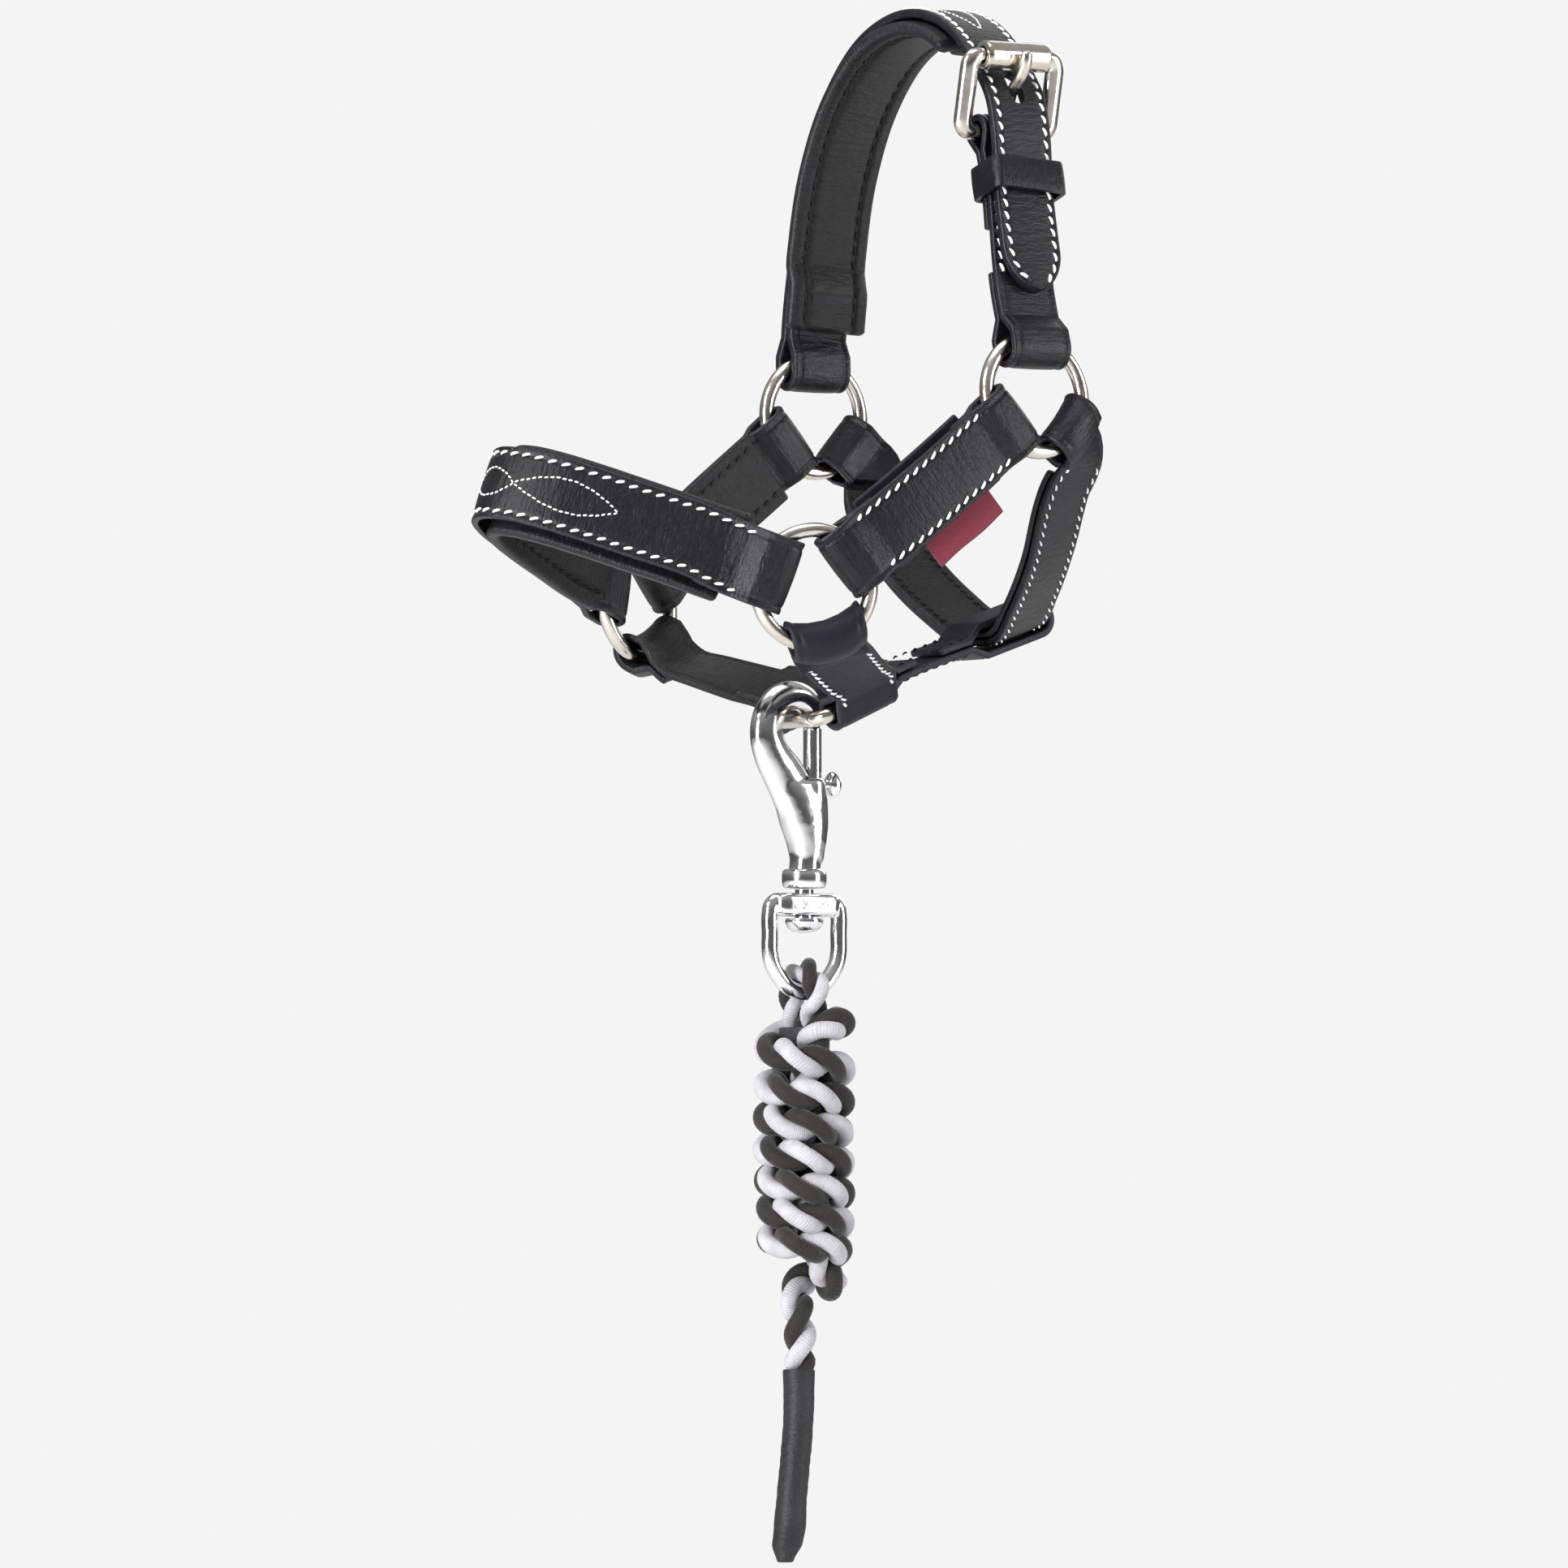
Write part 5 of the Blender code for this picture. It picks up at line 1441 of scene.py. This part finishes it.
def build_spring():
    """A real coil of wire between the bore's floor and the bolt."""
    bx = SNAP_X + BOLT_DX
    low, high = BORE_BOTTOM + 0.45, BOLT_BOTTOM - 0.45
    turns = 11
    pts = []
    for k in range(turns * 20 + 1):
        a = 2 * math.pi * k / 20
        f = k / (turns * 20.0)
        rise = low + (high - low) * min(1.0, max(0.0, (f - 0.06) / 0.88))
        pts.append((bx + 1.5 * math.cos(a), 1.5 * math.sin(a), rise))
    steel = metal("spring_wire_steel", (0.55, 0.55, 0.56), 0.3)
    bm = bmesh.new()
    add_skin(bm, tube_rings(pts, 0.22, (0.0, 0.0, 1.0), 10), chord_lengths(pts),
             [0.14 * j for j in range(10)])
    bmesh.ops.recalc_face_normals(bm, faces=bm.faces)
    mesh = bpy.data.meshes.new("spring_coil")
    bm.to_mesh(mesh)
    bm.free()
    item = bpy.data.objects.new("spring_coil", mesh)
    bpy.context.scene.collection.objects.link(item)
    mesh.materials.append(steel)
    mesh.shade_smooth()
    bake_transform(item)
    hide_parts("snap_spring")


def build_swivel():
    x = SNAP_X
    top = EYE_TOP
    rivet = lathe_sections(x, 0.0, [(1.2, top - 8.0), (2.4, top - 7.8), (3.3, top - 7.2), (3.85, top - 6.2),
                                    (3.95, top - 5.7), (3.75, top - 5.2), (1.9, top - 5.1),
                                    (1.9, top + 0.75)])
    bm = bmesh.new()
    add_skin(bm, rivet, [float(i) for i in range(len(rivet))], [float(j) for j in range(40)])
    bmesh.ops.recalc_face_normals(bm, faces=bm.faces)
    finish_piece("swivel_rivet_metal", bm, [CHROME], "snap", ("swivel_rivet",), 35.0)
    h = EYE_HALF
    mid = top - 2.4
    half_line = [(-h + 2.4, mid + 0.8), (-h + 1.2, mid + 0.55), (-h + 0.35, mid - 0.3), (-h, mid - 1.8),
                 (-h, mid - 6.0), (-h, mid - 9.6), (-h + 0.45, mid - 11.8), (-h + 2.0, mid - 14.4),
                 (-h + 4.6, mid - 16.9)]
    line = half_line + [(0.0, EYE_BOTTOM)] + [(-dx, z) for dx, z in reversed(half_line)]
    bow = tube_rings(spline([(x + dx, 0.0, z) for dx, z in line], 6), EYE_R + 0.1, (0.0, 1.0, 0.0), 24)
    block = []
    for k in range(15):
        f = -1.0 + k / 7.0
        e = 1.0 - 0.28 * max(0.0, (abs(f) - 0.75) / 0.25) ** 2
        ring = []
        for j in range(32):
            a = 2 * math.pi * j / 32
            c, s = math.cos(a), math.sin(a)
            ring.append((x + f * (h - 1.2), 3.1 * e * math.copysign(abs(c) ** 0.5, c),
                         mid + 2.4 * e * math.copysign(abs(s) ** 0.5, s)))
        block.append(ring)
    hole = cutter_from(lathe_sections(x, 0.0, [(2.2, top - 7.0), (2.2, top + 2.0)]))
    cast_blend("swivel_eye_casting", [(bow, False), (block, False)], 0.2, 8, CHROME, ("swivel_eye",),
               "swivel",
               (hole,))


# Lead rope

AXIS_U = vec((math.cos(math.radians(33.0)), -math.sin(math.radians(33.0)), 0.0))
AXIS_V = vec((math.sin(math.radians(33.0)), math.cos(math.radians(33.0)), 0.0))
STRAND_R = 1.78
STRAND_OFF = 1.62
LAY = 12.4              # length in which the strands go once round each other
HANK_LAY = 15.8         # the same where the rope is wound round itself
TAIL_PHASE = 2.2        # where the first strand lies at the end of the tail, in radians
HANK_TURN = math.pi     # the hank's strands are half a turn from the tail's
EYE_TURN = -0.9         # turns the strands at the eye so that they clear the swivel's casting
BAND_RISE = 2.4


def hank(u, v, z):
    """A point across the hank (u), through it (v) and up (z)."""
    return vec((SNAP_X, 0.0, 0.0)) + AXIS_U * u + AXIS_V * v + vec((0.0, 0.0, z))


def rope_line():
    """Centre of the rope: eye, core down and up again, seven wraps, and the hanging end."""
    x = SNAP_X
    top = BAND_TOP + BAND_RISE
    reach = EYE_R + GAP + 2.75
    eye = [(x, -2.6, top - 4.4), (x, -2.7, top - 1.0), (x, -3.2, top + 2.2),
           (x, -reach + 0.15, EYE_BOTTOM - 2.2)]
    for k in range(0, 9):
        a = math.pi * k / 8
        eye.append((x, -reach * math.cos(a), EYE_BOTTOM + reach * math.sin(a) * 0.96))
    eye += [(x, reach - 0.15, EYE_BOTTOM - 2.2), (x, 3.2, top + 2.2), (x, 2.7, top - 1.0),
            (x, 2.6, top - 4.4)]
    knots = [vec(p) for p in eye]
    knots += [hank(0.3, 3.2, -220.0), hank(0.3, 3.4, -230.0), hank(0.3, 3.4, -244.0), hank(1.6, 3.5, -254.0)]
    knots += [hank(4.4, 3.2, -259.5), hank(5.6, 1.6, -263.6), hank(5.4, -1.6, -263.4),
              hank(3.4, -3.2, -259.0)]
    knots += [hank(0.6, -3.5, -252.5), hank(0.0, -3.4, -242.0), hank(0.0, -3.4, -228.0),
              hank(0.4, -3.6, -220.0)]
    knots += [hank(0.6, -5.6, -215.9), hank(2.6, -6.9, -212.9), hank(5.6, -5.2, -210.7),
              hank(7.2, -0.6, -209.9)]
    knots += [hank(5.2, 5.2, -210.3), hank(0.2, 8.4, -211.2), hank(-4.6, 6.4, -212.8)]
    left = [-215.0, -223.0, -229.4, -235.9, -242.2, -248.1, -254.1]
    right = [-219.6, -226.1, -232.4, -238.8, -245.0, -251.0, -256.8]
    for i in range(7):
        narrow = (1.0, 1.0, 1.0, 1.0, 0.99, 0.97, 0.93)[i]
        a, b = 7.2 * narrow, 10.2 * narrow
        nxt = left[i + 1] if i < 6 else -261.0
        drop = left[i] - right[i]
        turns = [(-90, left[i]), (-45, left[i] - 0.3 * drop), (0, left[i] - 0.58 * drop),
                 (45, left[i] - 0.82 * drop), (90, right[i]),
                 (135, 0.75 * right[i] + 0.25 * nxt), (180, 0.5 * (right[i] + nxt)),
                 (225, 0.25 * right[i] + 0.75 * nxt)]
        for degrees, z in turns:
            if i == 6 and degrees > 140:
                continue
            t = math.radians(degrees)
            knots.append(hank(a * math.sin(t), -b * math.cos(t), z))
    knots += [hank(1.2, 7.6, -261.2), hank(-1.6, 4.2, -264.2), hank(-1.5, 0.9, -267.5),
              hank(-0.9, 0.0, -271.5)]
    knots += [hank(-0.9, 0.0, -276.0), hank(-0.9, 0.0, SLEEVE_TOP - 1.0), hank(-1.1, 0.0, SLEEVE_TOP - 5.0)]
    return resample([tuple(p) for p in spline([tuple(p) for p in knots], 12)], 0.55)


def carried_frames(pts):
    """A frame carried along a line without twisting."""
    pts = np.array(pts)
    tangents = []
    for i in range(len(pts)):
        tangents.append(unit(pts[min(i + 1, len(pts) - 1)] - pts[max(i - 1, 0)]))
    normal = unit(np.cross(tangents[0], (0.3, 0.2, 1.0)))
    frames = []
    for t in tangents:
        normal = unit(normal - t * float(np.dot(normal, t)))
        frames.append((t, normal, np.cross(t, normal)))
    return frames


def build_rope():
    line = rope_line()
    frames = carried_frames(line)
    s = chord_lengths(line)
    total = s[-1]
    bm = bmesh.new()
    wound = [i for i, p in enumerate(line) if float(np.dot(vec(p), AXIS_U)) < -34.0 and p[2] < -212.0]
    first_i, last_i = wound[0], wound[-1]
    turn_total = [0.0]
    for i in range(1, len(line)):
        inside = smooth((s[i] - s[first_i]) / 8.0) * smooth((s[last_i] + 26.0 - s[i]) / 8.0)
        lay = LAY + (HANK_LAY - LAY) * inside
        turn_total.append(turn_total[-1] + 2 * math.pi * (s[i] - s[i - 1]) / lay)
    end_phase = TAIL_PHASE - turn_total[-1]
    for strand in (0, 1):
        sections = []
        for i, p in enumerate(line):
            t, a, b = frames[i]
            scale = 0.82 + 0.18 * smooth((s[i] - 30.0) / 10.0) - 0.16 * smooth((s[i] - (total - 6.6)) / 1.4)
            phase = turn_total[i] + end_phase + math.pi * strand
            phase += EYE_TURN * (1.0 - smooth((s[i] - 20.0) / 14.0))
            phase += math.pi * (1.0 - smooth((s[i] - s[first_i] + 10.0) / 14.0))
            phase += HANK_TURN * (1.0 - smooth((s[i] - s[last_i] - 20.0) / 16.0))
            out = a * math.cos(phase) + b * math.sin(phase)
            centre = vec(p) + out * STRAND_OFF * scale
            lean = 2 * math.pi * STRAND_OFF * scale / LAY
            along = unit(t + np.cross(t, out) * lean)
            u = unit(out - along * float(np.dot(out, along)))
            v = np.cross(along, u)
            ring = []
            for j in range(18):
                w = 2 * math.pi * j / 18
                r = STRAND_R * scale
                squeeze = 1.0 - 0.06 * math.cos(w) * (1.0 if math.cos(w) < 0 else 0.0)
                ring.append(centre + (u * math.cos(w) + v * math.sin(w)) * r * squeeze)
            sections.append(ring)
        add_skin(bm, sections, list(s), [0.62 * j for j in range(18)], None, False, strand)
    bmesh.ops.recalc_face_normals(bm, faces=bm.faces)
    dark = cord_fabric("cord_dark", (0.0075, 0.0065, 0.0055), (0.021, 0.0185, 0.0155))
    pale = cord_fabric("cord_silver", (0.30, 0.288, 0.312), (0.50, 0.484, 0.516))
    item = finish_piece("lead_rope", bm, [dark, pale], "rope", ("rope_eye", "rope_hank", "rope_tail"),
                        80.0)
    band = build_band()
    sleeve = build_sleeve()
    return item


def build_band():
    """Flat leather band that closes the eye: a closed hoop; its butt seam at the side is not drawn."""
    z0, z1 = BAND_BOTTOM + BAND_RISE, BAND_TOP + BAND_RISE
    profile = [(0.0, z0 + 0.2), (0.2, z0), (0.8, z0), (1.0, z0 + 0.25), (1.03, 0.5 * (z0 + z1)),
               (1.0, z1 - 0.25),
               (0.8, z1), (0.2, z1), (0.0, z1 - 0.2)]
    sections = []
    us = []
    for k in range(64):
        a = 2 * math.pi * k / 64
        c, s = math.cos(a), math.sin(a)
        ox, oy = math.copysign(abs(c) ** 0.72, c), math.copysign(abs(s) ** 0.72, s)
        section = []
        for f, z in profile:
            rx, ry = 2.9 + 0.85 * f, 5.5 + 0.95 * f
            section.append((SNAP_X + rx * ox, ry * oy, z))
        sections.append(section)
        us.append(k * 0.5)
    bm = bmesh.new()
    add_skin(bm, sections, us, [f * 0.9 + z * 0.9 for f, z in profile],
             [0.4 if f > 0.9 and abs(z - 0.5 * (z0 + z1)) > 1 else 0.0 for f, z in profile], True)
    bmesh.ops.recalc_face_normals(bm, faces=bm.faces)
    grey = leather("band_leather", (0.020, 0.020, 0.021), (0.038, 0.038, 0.040), (0.45, 0.6), 0.2, 0.2, 0.35)
    return finish_piece("rope_band_leather", bm, [grey], "rope", ("rope_band",))


def build_sleeve():
    """Soft sleeve over the cut end: it wrinkles a little and is pinched flat at the bottom."""
    z0, z1 = SLEEVE_BOTTOM, SLEEVE_TOP
    rows = [z1 - 0.9, z1 - 0.15, z1, z1 - 0.25]
    inside = [2.7, 2.75, 3.05, 3.28]
    z = z1 - 0.8
    while z > z0 + 0.4:
        rows.append(z)
        inside.append(3.28)
        z -= 0.5
    rows += [z0 + 0.4, z0 + 0.08, z0, z0]
    inside += [3.25, 3.0, 2.6, 1.0]
    sections = []
    for r, z in zip(inside, rows):
        drop = (z1 - z) / (z1 - z0)
        flat = smooth((drop - 0.80) / 0.20)
        cu = -1.1 - 1.9 * smooth((drop - 0.15) / 0.75)
        belly = 1.0 - 0.05 * smooth(drop / 0.25) + 0.05 * math.exp(-((drop - 0.8) / 0.1) ** 2)
        pinch = 1.0 - 0.45 * smooth((drop - 0.9) / 0.1)
        ring = []
        for j in range(48):
            a = 2 * math.pi * j / 48
            fold_line = math.sin(2.3 * z + 1.6 * math.sin(a + 0.4) + 1.1 * math.sin(0.63 * z))
            crease = 0.045 * fold_line * math.exp(-((drop - 0.46)
                                                    / 0.30) ** 2) + 0.03 * math.sin(0.8 * z + 2.0 * a)
            rr = r * belly + (crease if r > 3.2 else 0.0)
            u = rr * math.cos(a) * (pinch if r > 2.9 or drop > 0.9 else 1.0) - 0.9 * flat
            v = rr * math.sin(a) * (1.0 - 0.45 * flat)
            ring.append(hank(cu + u, v, z))
        sections.append(ring)
    bm = bmesh.new()
    add_skin(bm, sections, [z1 - z for z in rows], [0.43 * j for j in range(48)])
    bmesh.ops.recalc_face_normals(bm, faces=bm.faces)
    grey = leather("sleeve_leather", (0.014, 0.0133, 0.0147), (0.027, 0.0256, 0.0284), (0.36, 0.52), 0.35,
                   0.7, 0.3)
    return finish_piece("rope_sleeve_leather", bm, [grey], "rope", ("rope_end_sleeve",))


# Room, light and camera

def build_room():
    mesh = bpy.data.meshes.new("floor")
    size, steps, z = 3.0, 12, -0.45
    bm = bmesh.new()
    grid = [[bm.verts.new((-size + 2 * size * i / steps, -size + 2 * size * j / steps,
                           z)) for j in range(steps + 1)]
            for i in range(steps + 1)]
    for i in range(steps):
        for j in range(steps):
            bm.faces.new((grid[i][j], grid[i + 1][j], grid[i + 1][j + 1], grid[i][j + 1]))
    bm.to_mesh(mesh)
    bm.free()
    floor = bpy.data.objects.new("studio_floor", mesh)
    bpy.context.scene.collection.objects.link(floor)
    mat, nodes, links, shader = shader_of("studio_paper")
    metres = coords(nodes, links, "Object", (1.0, 1.0, 1.0))
    links.new(ramp(nodes, links, noise(nodes, links, metres, 30.0), [(0.3, 0.80), (0.7, 0.83)]),
              shader.inputs["Base Color"])
    shader.inputs["Roughness"].default_value = 0.9
    mesh.materials.append(mat)


def build_world():
    world = bpy.data.worlds.new("studio")
    bpy.context.scene.world = world
    world.use_nodes = True
    nodes, links = world.node_tree.nodes, world.node_tree.links
    nodes.clear()
    out = nodes.new("ShaderNodeOutputWorld")
    mix = nodes.new("ShaderNodeMixShader")
    path = nodes.new("ShaderNodeLightPath")
    plain = nodes.new("ShaderNodeBackground")
    plain.inputs["Color"].default_value = (0.905, 0.905, 0.905, 1.0)
    plain.inputs["Strength"].default_value = 1.0
    lit = nodes.new("ShaderNodeBackground")
    lit.inputs["Strength"].default_value = 0.44
    source = nodes.new("ShaderNodeTexCoord")
    split = nodes.new("ShaderNodeSeparateXYZ")
    links.new(source.outputs["Generated"], split.inputs["Vector"])
    height = maths(nodes, links, "ADD", maths(nodes, links, "MULTIPLY", split.outputs["Z"], 0.5), 0.5)
    sky = ramp(nodes, links, height,
               [(0.0, (0.50, 0.49, 0.48)), (0.36, (0.42, 0.41, 0.40)), (0.46, (0.17, 0.17, 0.17)),
                                      (0.53, (0.27, 0.27, 0.27)), (0.66, (0.62, 0.62, 0.62)),
                (1.0, (1.0, 1.0, 1.0))])
    links.new(sky, lit.inputs["Color"])
    links.new(path.outputs["Is Camera Ray"], mix.inputs["Fac"])
    links.new(lit.outputs[0], mix.inputs[1])
    links.new(plain.outputs[0], mix.inputs[2])
    links.new(mix.outputs[0], out.inputs["Surface"])


def area_light(name, where, target, size, energy, colour):
    data = bpy.data.lights.new(name, "AREA")
    data.shape = "RECTANGLE"
    data.size, data.size_y = size
    data.energy = energy
    data.color = colour
    item = bpy.data.objects.new(name, data)
    bpy.context.scene.collection.objects.link(item)
    item.location = where
    item.rotation_euler = (Vector(target) - Vector(where)).to_track_quat("-Z", "Y").to_euler()
    return item


def view_axes():
    az, el = math.radians(VIEW_AZ), math.radians(VIEW_EL)
    back = vec((math.sin(az) * math.cos(el), -math.cos(az) * math.cos(el), math.sin(el)))
    right = unit(np.cross(-back, (0.0, 0.0, 1.0)))
    up = np.cross(right, -back)
    return right, up, -back


MIDDLE = (-30.0, 0.0, -150.0)
AIM_OFFSET = (-6.83, -10.9)     # where the camera looks, right and up of MIDDLE
CAMERA_DISTANCE = 3000.0
LENS, SENSOR = 335.4, 36.0
COOL = (0.96, 0.97, 1.0)
# name, metres right, up and ahead of the middle, size, power, colour
LAMPS = (("key_light", (-0.9, 0.9, -0.8), (0.5, 0.4), 9.5, (1.0, 0.99, 0.97)),
         ("gloss_light", (-0.86, 0.12, -1.0), (0.22, 0.6), 20.0, COOL),
         ("fill_light", (1.2, 0.2, -0.3), (0.35, 0.9), 10.0, COOL),
         ("top_light", (-0.1, 1.2, -0.1), (1.1, 0.7), 7.0, (1.0, 1.0, 1.0)),
         ("back_light", (0.5, 0.5, 0.9), (0.8, 0.8), 3.0, (1.0, 1.0, 1.0)))


def build_camera_and_lights():
    right, up, ahead = view_axes()
    place = vec(MIDDLE) + right * AIM_OFFSET[0] + up * AIM_OFFSET[1] - ahead * CAMERA_DISTANCE
    data = bpy.data.cameras.new("photo_camera")
    data.sensor_width = SENSOR
    data.lens = LENS
    data.clip_end = 50.0
    camera = bpy.data.objects.new("photo_camera", data)
    bpy.context.scene.collection.objects.link(camera)
    camera.location = put(place)
    camera.rotation_euler = Vector(ahead).to_track_quat("-Z", "Y").to_euler()
    bpy.context.scene.camera = camera
    middle = put(MIDDLE)
    for name, (x, y, z), size, power, colour in LAMPS:
        where = middle + Vector(right) * x + Vector(up) * y + Vector(ahead) * z
        area_light(name, where, middle, size, power, colour)
    bpy.context.scene.view_settings.view_transform = "Standard"


def main():
    crown = build_crown()
    build_crown_padding(crown)
    build_keeper(build_buckle_strap())
    near = build_cheek(-1, "near")
    build_cheek(1, "far")
    build_label(near)
    build_noseband()
    build_chin(-1, "near")
    build_chin(1, "far")
    build_jaw(build_throat())
    build_rings()
    build_buckle()
    build_snap()
    build_bolt()
    build_spring()
    build_swivel()
    build_rope()
    build_room()
    build_world()
    build_camera_and_lights()
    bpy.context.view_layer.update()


main()
